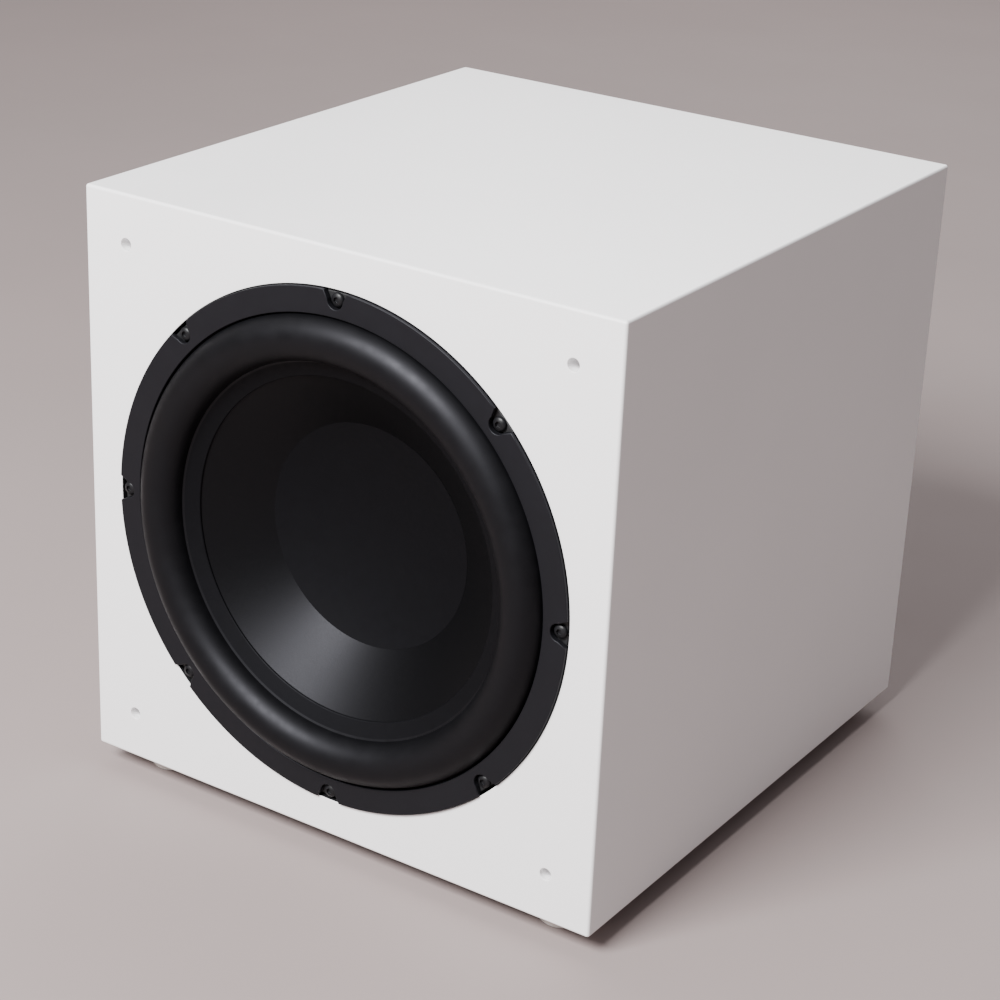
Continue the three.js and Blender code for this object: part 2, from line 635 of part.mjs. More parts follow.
function fuseDrawer() {
  const { z, halfWidth, halfHeight, depth } = FUSE;
  const cover = INLET_FACE + FIT;
  const tray = join(
    bar(0, z, halfWidth - 0.4, halfHeight - 0.4, INLET_FACE - depth + 2, cover + 1),
    bar(0, z, halfWidth + 0.6, halfHeight + 0.5, cover, cover + 1.8),
  );
  const well = halfWidth - 2.4;
  const tail = INLET_FACE - depth;
  return cut(tray, box([-well, tail + 4, z + 1], [well, tail + 12, z + halfHeight + 1]));
}

// A round bar along X through the origin.
function pivotPin(radius, halfLength) {
  return new THREE.CylinderGeometry(radius, radius, 2 * halfLength, AROUND_SCREW).rotateZ(Math.PI / 2);
}

function rockerHousing() {
  const { halfWidth, halfHeight, depth, lip, rim } = HOUSING;
  const lipBase = PLATE_OUT + FIT;
  const body = join(
    bar(0, 0, halfWidth, halfHeight, PLATE_OUT - depth, lipBase + 1),
    bar(0, 0, halfWidth + rim, halfHeight + rim, lipBase, lipBase + lip),
  );
  const well = [ROCKER.halfWidth + 0.4, ROCKER.halfLength + 1.4];
  return cut(
    body,
    bar(0, 0, ...well, PLATE_OUT - depth / 2, lipBase + lip + 1),
    pivotPin(PIVOT.radius + FIT, PIVOT.reach + FIT).translate(0, PLATE_OUT + PIVOT.y, 0),
  );
}

// The rocker's face is a shallow V, so that one half is flush at each end of its swing. Its outline
// is drawn with x as the distance outwards and y as the height, and its width lies along X.
function mainsRocker() {
  const [back, edge, middle] = [-3, 3.4, 2];
  const outline = new THREE.Shape();
  outline.moveTo(back, -ROCKER.halfLength);
  outline.lineTo(edge, -ROCKER.halfLength);
  outline.lineTo(middle, 0);
  outline.lineTo(edge, ROCKER.halfLength);
  outline.lineTo(back, ROCKER.halfLength);
  const body = new THREE.ExtrudeGeometry(outline, { depth: 2 * ROCKER.halfWidth, bevelEnabled: false });
  body.translate(0, 0, -ROCKER.halfWidth).rotateX(Math.PI / 2).rotateZ(Math.PI / 2);
  return join(body, pivotPin(PIVOT.radius, PIVOT.reach));
}

function rcaJack() {
  const base = PLATE_OUT + FIT;
  const tail = PLATE_IN - JACK.behind;
  return turned(
    [
      [0, tail],
      [JACK.barrel, tail],
      [JACK.barrel, base],
      [JACK.nut, base],
      [JACK.nut, base + 1.6],
      [JACK.barrel, base + 1.6],
      [JACK.barrel, base + JACK.length],
      [JACK.bore, base + JACK.length],
      [JACK.bore, base + 1],
      [0, base + 1],
    ],
    AROUND_SMALL,
  );
}

function circuitBoard() {
  const back = BOARD.face;
  const sheet = box([-BOARD.halfWidth, back - BOARD.wall, BOARD.low], [BOARD.halfWidth, back, BOARD.high]);
  const postX = BOARD.halfWidth - 6;
  const posts = [-postX, postX].flatMap((x) =>
    [BOARD.low + 6, BOARD.high - 6].map((z) => bar(x, z, BOARD.post, BOARD.post, back - 1, PLATE_IN - FIT)),
  );
  return join(sheet, ...posts);
}

function transformer() {
  const { inner, outer, back, length } = TRANSFORMER;
  const round = 6;
  return turned(
    [
      [inner, back - round],
      [inner + round, back],
      [outer - round, back],
      [outer, back - round],
      [outer, back - length + round],
      [outer - round, back - length],
      [inner + round, back - length],
      [inner, back - length + round],
    ],
    24,
  );
}

function buildAmplifier() {
  const rimWidth = AMP.overlap - 1;
  const gasket = cut(
    bar(0, 0, AMP.halfWidth, AMP.halfHeight, FIT, FIT + AMP.gasket),
    bar(0, 0, AMP.halfWidth - rimWidth, AMP.halfHeight - rimWidth, 0, PLATE_IN),
  );
  piece(rear, "amp_gasket", gasket, "foam");
  piece(rear, "amp_plate", ampPlate(), "blackMetal");
  piece(rear, "heat_sink", heatSink(), "blackMetal");
  piece(rear, "circuit_board", circuitBoard(), "board");
  piece(rear, "transformer", transformer(), "tape", [TRANSFORMER.x, 0, TRANSFORMER.z]);
  CAPACITOR.x.forEach((x, index) => {
    const foot = BOARD.face - BOARD.wall - FIT;
    const can = pin(x, CAPACITOR.z, CAPACITOR.radius, foot - CAPACITOR.length, foot, AROUND_SMALL);
    piece(rear, `filter_capacitor_${index + 1}`, can, "sleeve");
  });
  piece(rear, "volume_knob", knob(), "plastic", [KNOB.x.volume, 0, CONTROL_Z]);
  piece(rear, "crossover_knob", knob(), "plastic", [KNOB.x.crossover, 0, CONTROL_Z]);
  const atRest = -SWITCH.travel / 2;
  piece(rear, "phase_switch", switchLever(), "plastic", [SWITCH_X.phase + atRest, 0, CONTROL_Z]);
  piece(rear, "power_mode_switch", switchLever(), "plastic", [SWITCH_X.powerMode + atRest, 0, CONTROL_Z]);
  piece(rear, "rca_jack_left", rcaJack(), "steel", [JACK.x.left, 0, JACK.z]);
  piece(rear, "rca_jack_right", rcaJack(), "steel", [JACK.x.right, 0, JACK.z]);
  piece(rear, "mains_inlet", mainsInlet(), "plastic", [INLET.x, 0, INLET.z]);
  piece(rear, "fuse_drawer", fuseDrawer(), "plastic", [INLET.x, 0, INLET.z]);
  piece(rear, "rocker_housing", rockerHousing(), "plastic", [ROCKER.x, 0, ROCKER.z]);
  const rockerAt = [ROCKER.x, PLATE_OUT + PIVOT.y, ROCKER.z];
  const rocker = piece(rear, "mains_rocker", mainsRocker(), "plastic", rockerAt);
  rocker.rotation.x = THREE.MathUtils.degToRad(-ROCKER.tilt);
}

buildCabinet();
buildFeet();
buildDriver();
buildWiring();
buildAmplifier();

export default subwoofer;
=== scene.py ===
"""The looks of an active subwoofer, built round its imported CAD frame.

Distances are in metres. A driver profile is a list of (radius, depth) pairs, where depth runs back
from the baffle's face. A rear profile's second number runs outwards from the rear panel's face.
"""

import math
import random

import bmesh
import bpy
from mathutils import Matrix, Vector, noise


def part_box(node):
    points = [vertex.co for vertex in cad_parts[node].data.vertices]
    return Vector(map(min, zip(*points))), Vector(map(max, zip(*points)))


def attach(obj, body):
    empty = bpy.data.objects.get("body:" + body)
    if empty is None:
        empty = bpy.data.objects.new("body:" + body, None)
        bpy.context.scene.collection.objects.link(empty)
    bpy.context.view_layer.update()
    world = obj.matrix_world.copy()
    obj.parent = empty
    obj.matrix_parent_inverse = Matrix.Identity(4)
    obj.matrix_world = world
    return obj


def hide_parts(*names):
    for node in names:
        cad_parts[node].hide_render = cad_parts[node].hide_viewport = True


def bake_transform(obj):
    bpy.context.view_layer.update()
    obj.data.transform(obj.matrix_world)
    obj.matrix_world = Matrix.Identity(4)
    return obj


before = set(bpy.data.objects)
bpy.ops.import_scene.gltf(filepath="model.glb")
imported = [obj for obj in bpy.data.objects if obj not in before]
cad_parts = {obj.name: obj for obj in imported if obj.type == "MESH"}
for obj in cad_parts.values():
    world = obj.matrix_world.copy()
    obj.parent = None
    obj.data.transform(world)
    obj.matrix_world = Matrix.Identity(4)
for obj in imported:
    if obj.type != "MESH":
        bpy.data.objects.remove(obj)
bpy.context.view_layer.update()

# ---------------------------------------------------------------- measures from the frame

MM = 0.001
baffle_low, baffle_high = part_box("front_baffle")
FACE_Y = baffle_low.y
AXIS_Z = (baffle_low.z + baffle_high.z) / 2
HALF_WIDTH = baffle_high.x
HALF_HEIGHT = baffle_high.z - AXIS_Z
REAR_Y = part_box("rear_panel")[1].y
PLATE_BACK_Y, PLATE_Y = (corner.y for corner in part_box("amp_plate"))
PLATE_HALF = (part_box("amp_plate")[1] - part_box("amp_plate")[0]) / 2
WALL = baffle_high.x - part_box("rear_panel")[1].x
FIT = 0.3 * MM  # the gap that keeps meeting parts apart
CABINET = "enclosure"  # the body that stands still
MOVING = "driver_cone"  # the body that travels with the cone


def radius_of(node):
    low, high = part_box(node)
    return (high.x - low.x) / 2


def depths_of(node):
    low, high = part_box(node)
    return low.y - FACE_Y, high.y - FACE_Y


def centre_of(node):
    low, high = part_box(node)
    return (low + high) / 2


def flat(node):
    """The x and z of a node's middle."""
    middle = centre_of(node)
    return middle.x, middle.z


def mm(pairs):
    """Pairs of numbers in millimetres, as metres."""
    return [(first * MM, second * MM) for first, second in pairs]


def placed(name, data):
    """A new object in the scene."""
    made = bpy.data.objects.new(name, data)
    bpy.context.scene.collection.objects.link(made)
    return made


# ---------------------------------------------------------------- camera

CAMERA_AT = (0.7642, -1.1991, 0.7798)
CAMERA_TURN = (66.5, -2.298, 34.069)  # degrees
LENS_LENGTH = 89.5  # millimetres, on a frame 36 millimetres wide

camera = placed("camera", bpy.data.cameras.new("camera"))
camera.location = CAMERA_AT
camera.rotation_euler = [math.radians(angle) for angle in CAMERA_TURN]
camera.data.lens = LENS_LENGTH
camera.data.sensor_width = 36
bpy.context.scene.camera = camera

# ---------------------------------------------------------------- mesh work


def mesh_of(vertices, faces):
    """A tidied mesh of points and faces."""
    mesh = bpy.data.meshes.new("mesh")
    mesh.from_pydata(vertices, [], faces)
    return tidied(mesh)


def tidied(mesh, merge=1e-7):
    """The mesh with coinciding points merged and its faces turned outwards, in place."""
    work = bmesh.new()
    work.from_mesh(mesh)
    bmesh.ops.remove_doubles(work, verts=work.verts, dist=merge)
    bmesh.ops.recalc_face_normals(work, faces=work.faces)
    work.to_mesh(mesh)
    work.free()
    return mesh


def moved(mesh, offset=(0, 0, 0), turn=None):
    """The mesh turned by a matrix and then shifted, in place."""
    mesh.transform(Matrix.Translation(offset) @ (turn or Matrix.Identity(3)).to_4x4())
    return mesh


def saved(work):
    """A mesh of what a bmesh holds."""
    mesh = bpy.data.meshes.new("mesh")
    work.to_mesh(mesh)
    work.free()
    return mesh


def rotation(degrees, axis):
    """A turn about X, Y or Z."""
    return Matrix.Rotation(math.radians(degrees), 3, axis)


def joined(*meshes):
    """The meshes side by side in one."""
    work = bmesh.new()
    for mesh in meshes:
        work.from_mesh(mesh)
    return saved(work)


def evaluated(data, add_modifiers=None):
    """A mesh of some data after the modifiers that add_modifiers puts on a stand-in object."""
    holder = placed("holder", data)
    if add_modifiers:
        add_modifiers(holder)
    graph = bpy.context.evaluated_depsgraph_get()
    result = bpy.data.meshes.new_from_object(holder.evaluated_get(graph))
    bpy.data.objects.remove(holder)
    return result


def combined(mesh, tools, operation):
    """The mesh with each tool cut from it or added to it."""
    holders = [placed("tool", tool) for tool in tools]

    def booleans(target):
        for holder in holders:
            boolean = target.modifiers.new("boolean", "BOOLEAN")
            boolean.operation = operation
            boolean.solver = "EXACT"
            boolean.object = holder

    result = evaluated(mesh, booleans)
    for holder in holders:
        bpy.data.objects.remove(holder)
    return result


def carved(mesh, *cutters):
    return combined(mesh, cutters, "DIFFERENCE")


def united(mesh, *others):
    return combined(mesh, others, "UNION")


def block(low, high, bevel=0.3 * MM, steps=2):
    """A box with rounded edges between two corners."""
    work = bmesh.new()
    bmesh.ops.create_cube(work, size=1)
    size = [b - a for a, b in zip(low, high)]
    middle = [(a + b) / 2 for a, b in zip(low, high)]
    bmesh.ops.scale(work, vec=size, verts=work.verts)
    bmesh.ops.translate(work, vec=middle, verts=work.verts)
    bmesh.ops.bevel(work, geom=work.edges[:], offset=bevel, segments=steps, profile=0.5, affect="EDGES")
    return saved(work)


def brick(middle, half_x, half_z, near, far, bevel=0.3 * MM, steps=2):
    """A box with rounded edges about a point of the baffle's plane, from one y to another."""
    x, z = middle
    return block((x - half_x, near, z - half_z), (x + half_x, far, z + half_z), bevel, steps)


def around(middle, radius, start, end, steps):
    """Points of an arc in two dimensions, from one angle to another in degrees."""
    points = []
    for step in range(steps + 1):
        angle = math.radians(start + (end - start) * step / steps)
        points.append((middle[0] + radius * math.cos(angle), middle[1] + radius * math.sin(angle)))
    return points


def rounded(outline, radius, steps=4, closed=True):
    """The outline with each corner replaced by a curve, as far as its sides leave room."""
    count = len(outline)
    result = []
    for index, corner in enumerate(outline):
        if not closed and index in (0, count - 1):
            result.append(tuple(corner))
            continue
        here = Vector(corner)
        before = Vector(outline[index - 1]) - here
        after = Vector(outline[(index + 1) % count]) - here
        turn = before.angle(after, math.pi)
        if turn > math.radians(178):
            result.append(tuple(here))
            continue
        half = turn / 2
        room = 0.49 * min(before.length, after.length)
        setback = min(radius / math.tan(half), room)
        first = here + before.normalized() * setback
        last = here + after.normalized() * setback
        for step in range(steps + 1):
            share = step / steps
            a = first.lerp(here, share)
            b = here.lerp(last, share)
            result.append(tuple(a.lerp(b, share)))
    return result


def rectangle(half_x, half_y, radius=0.0, middle=(0, 0), steps=5):
    x, y = middle
    signs = ((-1, -1), (1, -1), (1, 1), (-1, 1))
    corners = [(x + right * half_x, y + up * half_y) for right, up in signs]
    return rounded(corners, radius, steps) if radius else corners


def circle(radius, middle=(0, 0), steps=48):
    """Points of a circle, or with few steps of a regular shape such as a hexagon."""
    return around(middle, radius, 0, 360, steps)[:-1]


PLANES = {  # where a flat outline's first and second numbers go, and the way it is extruded
    "xz": Matrix(((1, 0, 0), (0, 0, 1), (0, 1, 0))),
    "xy": Matrix(((1, 0, 0), (0, 1, 0), (0, 0, 1))),
    "yz": Matrix(((0, 0, 1), (1, 0, 0), (0, 1, 0))),
}


def slab(outlines, low, high, bevel=0.2 * MM, plane="xz", steps=2):
    """Flat outlines, the first with the others as holes, extruded from low to high with rounded edges."""
    curve = bpy.data.curves.new("outline", "CURVE")
    curve.dimensions = "2D"
    curve.fill_mode = "BOTH"
    curve.extrude = (high - low) / 2 - bevel
    curve.bevel_depth = bevel
    curve.bevel_resolution = steps
    curve.offset = -bevel
    for outline in outlines:
        spline = curve.splines.new("POLY")
        spline.points.add(len(outline) - 1)
        spline.use_cyclic_u = True
        for point, (x, y) in zip(spline.points, outline):
            point.co = (x, y, 0, 1)
    mesh = evaluated(curve)
    mesh.transform(Matrix.Translation((0, 0, (low + high) / 2)))
    mesh.transform(PLANES[plane].to_4x4())
    return tidied(mesh, merge=2e-6)


def turned(profile, segments=192, middle=(0, AXIS_Z), start=FACE_Y, swell=None):
    """A profile turned about an axis along Y. For a closed solid it starts and ends on the axis, or
    is a loop clear of it. swell(angle, radius, along) gives another radius, for flutes and the like.
    """
    rings = []
    vertices = []
    for radius, along in profile:
        if radius < 1e-9:
            rings.append([len(vertices)] * segments)
            vertices.append((middle[0], start + along, middle[1]))
            continue
        rings.append(list(range(len(vertices), len(vertices) + segments)))
        for step in range(segments):
            angle = 2 * math.pi * step / segments
            r = swell(angle, radius, along) if swell else radius
            x = middle[0] + r * math.sin(angle)
            vertices.append((x, start + along, middle[1] + r * math.cos(angle)))
    pairs = list(zip(rings, rings[1:]))
    if profile[0][0] > 1e-9:
        pairs.append((rings[-1], rings[0]))
    faces = []
    for near, far in pairs:
        for step in range(segments):
            following = (step + 1) % segments
            corners = [near[step], near[following], far[following], far[step]]
            face = list(dict.fromkeys(corners))
            if len(face) > 2:
                faces.append(face)
    return mesh_of(vertices, faces)


def solid(profile, soften, segments, middle, start=FACE_Y):
    """A turned solid whose profile starts and ends on the axis, with softened corners between."""
    return turned(rounded(profile, soften, closed=False), segments, middle, start)


def spline_through(points, steps):
    """Points of a smooth curve that passes through all the given ones."""
    knots = [Vector(point) for point in points]
    ends = [2 * knots[0] - knots[1], *knots, 2 * knots[-1] - knots[-2]]
    line = []
    for before, start, end, after in zip(ends, ends[1:], ends[2:], ends[3:]):
        bend = 2 * before - 5 * start + 4 * end - after
        twist = 3 * start - before - 3 * end + after
        for step in range(steps):
            t = step / steps
            line.append(0.5 * (2 * start + (end - before) * t + bend * t**2 + twist * t**3))
    return [*line, knots[-1]]


def swept(line, radius, sides=16, swell=None):
    """A closed round tube along a line of points.

    swell(angle, distance) gives the radius, for a braid or a twist.
    """
    tangents = [
        (line[min(i + 1, len(line) - 1)] - line[max(i - 1, 0)]).normalized() for i in range(len(line))
    ]
    across = tangents[0].orthogonal().normalized()
    vertices = []
    distance = 0.0
    for index, (point, tangent) in enumerate(zip(line, tangents)):
        across = (across - across.dot(tangent) * tangent).normalized()
        other = tangent.cross(across)
        distance += (point - line[index - 1]).length if index else 0.0
        for side in range(sides):
            angle = 2 * math.pi * side / sides
            r = swell(angle, distance) if swell else radius
            vertices.append(point + r * (math.cos(angle) * across + math.sin(angle) * other))
    faces = [list(range(sides))[::-1], list(range(len(vertices) - sides, len(vertices)))]
    for index in range(len(line) - 1):
        for side in range(sides):
            following = (side + 1) % sides
            a, b = index * sides, (index + 1) * sides
            faces.append([a + side, a + following, b + following, b + side])
    return mesh_of(vertices, faces)


def piece(name, mesh, finish, body=CABINET, stands_for=(), sharp=35):
    """A finished piece: its material, shading that is smooth up to the sharp angle, and the body it
    rides on, which is None for what bends between two bodies.
    """
    mesh.materials.clear()
    mesh.materials.append(finish)
    mesh.polygons.foreach_set("use_smooth", [True] * len(mesh.polygons))
    mesh.set_sharp_from_angle(angle=math.radians(sharp))
    made = placed(name, mesh)
    normals = made.modifiers.new("weighted normals", "WEIGHTED_NORMAL")
    normals.keep_sharp = True
    if body:
        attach(made, body)
    if stands_for:
        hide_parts(*stands_for)
    return made


# ---------------------------------------------------------------- materials


class Look:
    """A Principled material whose colour, roughness and relief come from noise in the part's own space."""

    def __init__(self, name, color, roughness, sockets=None):
        self.material = bpy.data.materials.new(name)
        self.material.use_nodes = True
        self.material.diffuse_color = (*color, 1)
        self.nodes = self.material.node_tree.nodes
        self.links = self.material.node_tree.links
        self.shader = self.nodes["Principled BSDF"]
        values = {"Base Color": (*color, 1), "Roughness": roughness, "Metallic": 0.0, **(sockets or {})}
        for socket, value in values.items():
            self.shader.inputs[socket].default_value = value
        self.place = self.nodes.new("ShaderNodeTexCoord").outputs["Object"]
        self.color = color
        self.roughness = roughness
        self.relief_from = None

    def node(self, kind, **inputs):
        """A new node with these input values, where an underscore stands for a space."""
        made = self.nodes.new(kind)
        for socket, value in inputs.items():
            made.inputs[socket.replace("_", " ")].default_value = value
        return made

    def speckle(self, size, detail=3.0, stretch=(1, 1, 1)):
        """Noise whose features are about size metres across."""
        texture = self.node("ShaderNodeTexNoise", Scale=1 / size, Detail=detail)
        mapping = self.node("ShaderNodeMapping", Scale=stretch)
        self.links.new(self.place, mapping.inputs["Vector"])
        self.links.new(mapping.outputs["Vector"], texture.inputs["Vector"])
        return texture.outputs["Fac"]

    def ranged(self, value, low, high):
        """The middle range of a noise value spread from low to high."""
        spread = self.node("ShaderNodeMapRange", From_Min=0.3, From_Max=0.7, To_Min=low, To_Max=high)
        self.links.new(value, spread.inputs["Value"])
        return spread.outputs["Result"]

    def tinted(self, size, amount, detail=3.0, stretch=(1, 1, 1)):
        """Lightens and darkens the colour by a share, in patches of this size."""
        mix = self.nodes.new("ShaderNodeMix")
        mix.data_type = "RGBA"
        mix.inputs["A"].default_value = (*(c * (1 - amount) for c in self.color), 1)
        mix.inputs["B"].default_value = (*(min(1, c * (1 + amount)) for c in self.color), 1)
        self.links.new(self.ranged(self.speckle(size, detail, stretch), 0, 1), mix.inputs["Factor"])
        self.links.new(mix.outputs["Result"], self.shader.inputs["Base Color"])
        return self

    def uneven(self, size, amount, detail=3.0, stretch=(1, 1, 1)):
        """Varies the roughness by an amount either way."""
        low, high = self.roughness - amount, self.roughness + amount
        value = self.ranged(self.speckle(size, detail, stretch), low, high)
        self.links.new(value, self.shader.inputs["Roughness"])
        return self

    def relief(self, size, height, detail=2.0, stretch=(1, 1, 1)):
        """Adds bumps of this size and height. Several of them stack."""
        return self.relief_of(self.speckle(size, detail, stretch), height)

    def relief_of(self, value, height):
        bump = self.node("ShaderNodeBump", Distance=height)
        self.links.new(value, bump.inputs["Height"])
        if self.relief_from:
            self.links.new(self.relief_from, bump.inputs["Normal"])
        self.relief_from = bump.outputs["Normal"]
        self.links.new(self.relief_from, self.shader.inputs["Normal"])
        return self

    def waves(self, size, direction="X", distortion=0.0, kind="BANDS"):
        """Even bands of this pitch, across one axis or as rings about it."""
        scale = math.pi / (10 * size)  # at a scale of 1 the node's bands are pi / 10 apart
        texture = self.node("ShaderNodeTexWave", Scale=scale, Distortion=distortion, Detail=0)
        texture.wave_type = kind
        texture.bands_direction = texture.rings_direction = direction
        self.links.new(self.place, texture.inputs["Vector"])
        return texture.outputs["Fac"]


def gloss(level):
    return {"Specular IOR Level": level}


def cool(level):
    """A weak gloss with the slightly blue tint that the black parts have."""
    return {"Specular IOR Level": level, "Specular Tint": (0.9, 0.9, 1.0, 1)}


def coat(weight):
    return {"Coat Weight": weight}


METAL = {"Metallic": 1.0}
MILKY = {"Subsurface Weight": 0.35, "Subsurface Radius": (0.004, 0.0035, 0.003), "Subsurface Scale": 1.0}


def lacquer():
    sockets = {"Coat Weight": 0.1, "Coat Roughness": 0.25}
    look = Look("white lacquer", (0.82, 0.81, 0.815), 0.38, sockets)
    look.tinted(0.11, 0.012).uneven(0.03, 0.03)
    return look.relief(0.9 * MM, 0.012 * MM, detail=1).relief(9 * MM, 0.02 * MM, detail=1).material


def batting():
    look = Look("polyester batting", (0.78, 0.77, 0.73), 0.95, {"Sheen Weight": 0.5})
    look.tinted(7 * MM, 0.1, detail=6).relief(1.2 * MM, 0.5 * MM, detail=6)
    return look.relief(5 * MM, 1.0 * MM, detail=4, stretch=(1, 0.5, 1)).material


def black_anodised():
    look = Look("black anodised aluminium", (0.05, 0.05, 0.054), 0.42, {"Metallic": 0.55})
    look.tinted(30 * MM, 0.08).uneven(1.2 * MM, 0.07, stretch=(1, 1, 0.05))
    return look.relief(0.25 * MM, 0.012 * MM, stretch=(1, 1, 0.04)).material


def plated_steel():
    look = Look("zinc-plated steel", (0.56, 0.56, 0.57), 0.34, METAL)
    look.tinted(14 * MM, 0.06).uneven(2 * MM, 0.08)
    return look.relief_of(look.waves(0.5 * MM, "Y", 0.6, "RINGS"), 0.008 * MM).material


def woven_cloth():
    look = Look("dipped spider cloth", (0.52, 0.33, 0.09), 0.8, {"Sheen Weight": 0.15})
    look.tinted(4 * MM, 0.12, detail=5)
    look.relief_of(look.waves(0.7 * MM, "X"), 0.12 * MM)
    return look.relief_of(look.waves(0.7 * MM, "Z"), 0.12 * MM).material


def solder_mask():
    look = Look("green solder mask", (0.012, 0.095, 0.035), 0.3, coat(0.4))
    look.tinted(9 * MM, 0.12).uneven(5 * MM, 0.06)
    return look.relief_of(look.waves(1.6 * MM, "X", 1.5), 0.03 * MM).material


def made_of(name, color, roughness, tint, bump, change=None, sockets=None):
    """A material whose tint is (size in mm, share), whose bump is (size, height) in mm, and whose
    roughness has a change of (size in mm, amount). A third number is the noise's detail.
    """
    look = Look(name, color, roughness, sockets)
    look.tinted(tint[0] * MM, *tint[1:])
    if change:
        look.uneven(change[0] * MM, change[1])
    return look.relief(bump[0] * MM, bump[1] * MM, *bump[2:]).material


def sleeve(name, color):
    return made_of(name, color, 0.4, (5, 0.08), (0.8, 0.015), (3, 0.05), gloss(0.5))


LACQUER, BATTING, ANODISED = lacquer(), batting(), black_anodised()
STEEL, CLOTH, MASK = plated_steel(), woven_cloth(), solder_mask()
MDF = made_of("bare fibreboard", (0.4, 0.26, 0.15), 0.85, (2, 0.22, 6), (0.6, 0.1, 5))
FOAM = made_of("closed-cell foam", (0.02, 0.02, 0.021), 0.92, (1.5, 0.3, 5), (0.8, 0.25, 5))
FOOT_PLASTIC = made_of(
    "milky foot plastic", (0.74, 0.7, 0.66), 0.34, (6, 0.05), (1.2, 0.02), (3, 0.05), MILKY
)
# Black for the walls of the driver's seat: painted shade standing in for the shade in the gap round the trim
# ring, not a paint the cabinet has.
SEAT_SHADE = made_of(
    "painted seat shade", (0.006, 0.006, 0.007), 0.7, (6, 0.1), (0.5, 0.03), (3, 0.06), gloss(0.3)
)
TRIM = made_of(
    "charcoal trim plastic", (0.0042, 0.0042, 0.0052), 0.5, (20, 0.06), (0.35, 0.035), (6, 0.05), cool(0.2)
)
RUBBER = made_of(
    "surround rubber", (0.0014, 0.0014, 0.0017), 0.5, (12, 0.12), (0.5, 0.02, 3), (9, 0.04), cool(0.19)
)
CONE_SKIN = made_of(
    "satin cone skin", (0.0016, 0.0016, 0.0018), 0.42, (3, 0.06), (0.55, 0.035, 3), (1.2, 0.02), cool(0.13)
)
CAP_SKIN = made_of(
    "matte cap skin", (0.0009, 0.0009, 0.0012), 0.6, (10, 0.1), (0.5, 0.04, 4), (4, 0.05), cool(0.12)
)
COAT = made_of(
    "black powder coat", (0.011, 0.011, 0.012), 0.52, (8, 0.1), (0.6, 0.06, 3), (3, 0.06), gloss(0.35)
)
OXIDE = made_of(
    "black oxide", (0.006, 0.006, 0.007), 0.42, (1.5, 0.25), (0.3, 0.01), (1, 0.08), gloss(0.22)
)
FERRITE = made_of(
    "ground ferrite", (0.045, 0.045, 0.048), 0.6, (3, 0.25, 6), (0.8, 0.05), (2, 0.1), {"Metallic": 0.1}
)
POLYIMIDE = made_of("polyimide film", (0.42, 0.19, 0.03), 0.3, (6, 0.08), (0.4, 0.01), (4, 0.05), coat(0.3))
COPPER = made_of("enamelled copper", (0.62, 0.24, 0.09), 0.3, (2, 0.15), (0.3, 0.01), (1, 0.08), METAL)
BRAID = made_of("tinned braid", (0.6, 0.57, 0.53), 0.35, (0.6, 0.2), (0.3, 0.06), (0.5, 0.1), METAL)
PLASTIC = made_of(
    "fine-textured black plastic", (0.022, 0.022, 0.024), 0.42, (5, 0.1), (0.35, 0.02), (3, 0.06)
)
TAPE = made_of("yellow winding tape", (0.56, 0.4, 0.06), 0.36, (6, 0.1), (1.5, 0.04), (4, 0.06), coat(0.3))
NICKEL = made_of("nickel plating", (0.68, 0.65, 0.6), 0.22, (2, 0.05), (0.4, 0.004), (2, 0.06), METAL)
INK = made_of("white screen print", (0.72, 0.72, 0.7), 0.6, (1, 0.06), (0.2, 0.005), (1, 0.05))
LENS = made_of("blue lamp lens", (0.05, 0.14, 0.42), 0.18, (1, 0.1), (0.5, 0.006), (1, 0.04), coat(0.5))
RED_SLEEVE = sleeve("red sleeve", (0.42, 0.025, 0.02))
BLACK_SLEEVE = sleeve("black sleeve", (0.02, 0.02, 0.02))
BLUE_SLEEVE = sleeve("dark blue sleeve", (0.018, 0.035, 0.12))
WHITE = sleeve("white insert plastic", (0.7, 0.7, 0.68))

# ---------------------------------------------------------------- cabinet

EDGE = 1.8 * MM  # the rounding of the cabinet's outer edges
REBATE_RADIUS = radius_of("trim_ring") + 0.5 * MM
REBATE_DEPTH = depths_of("driver_gasket")[1] + FIT
CUTOUT_RADIUS = 142.5 * MM
PEG_SPREAD = 150 * MM
PEG_RADIUS = 3.6 * MM
PEG_DEPTH = 12 * MM
SCREW_CIRCLE = centre_of("driver_screw_1").z - AXIS_Z
CUT_PAST = 2 * MM  # how far a cutter runs past the face it cuts


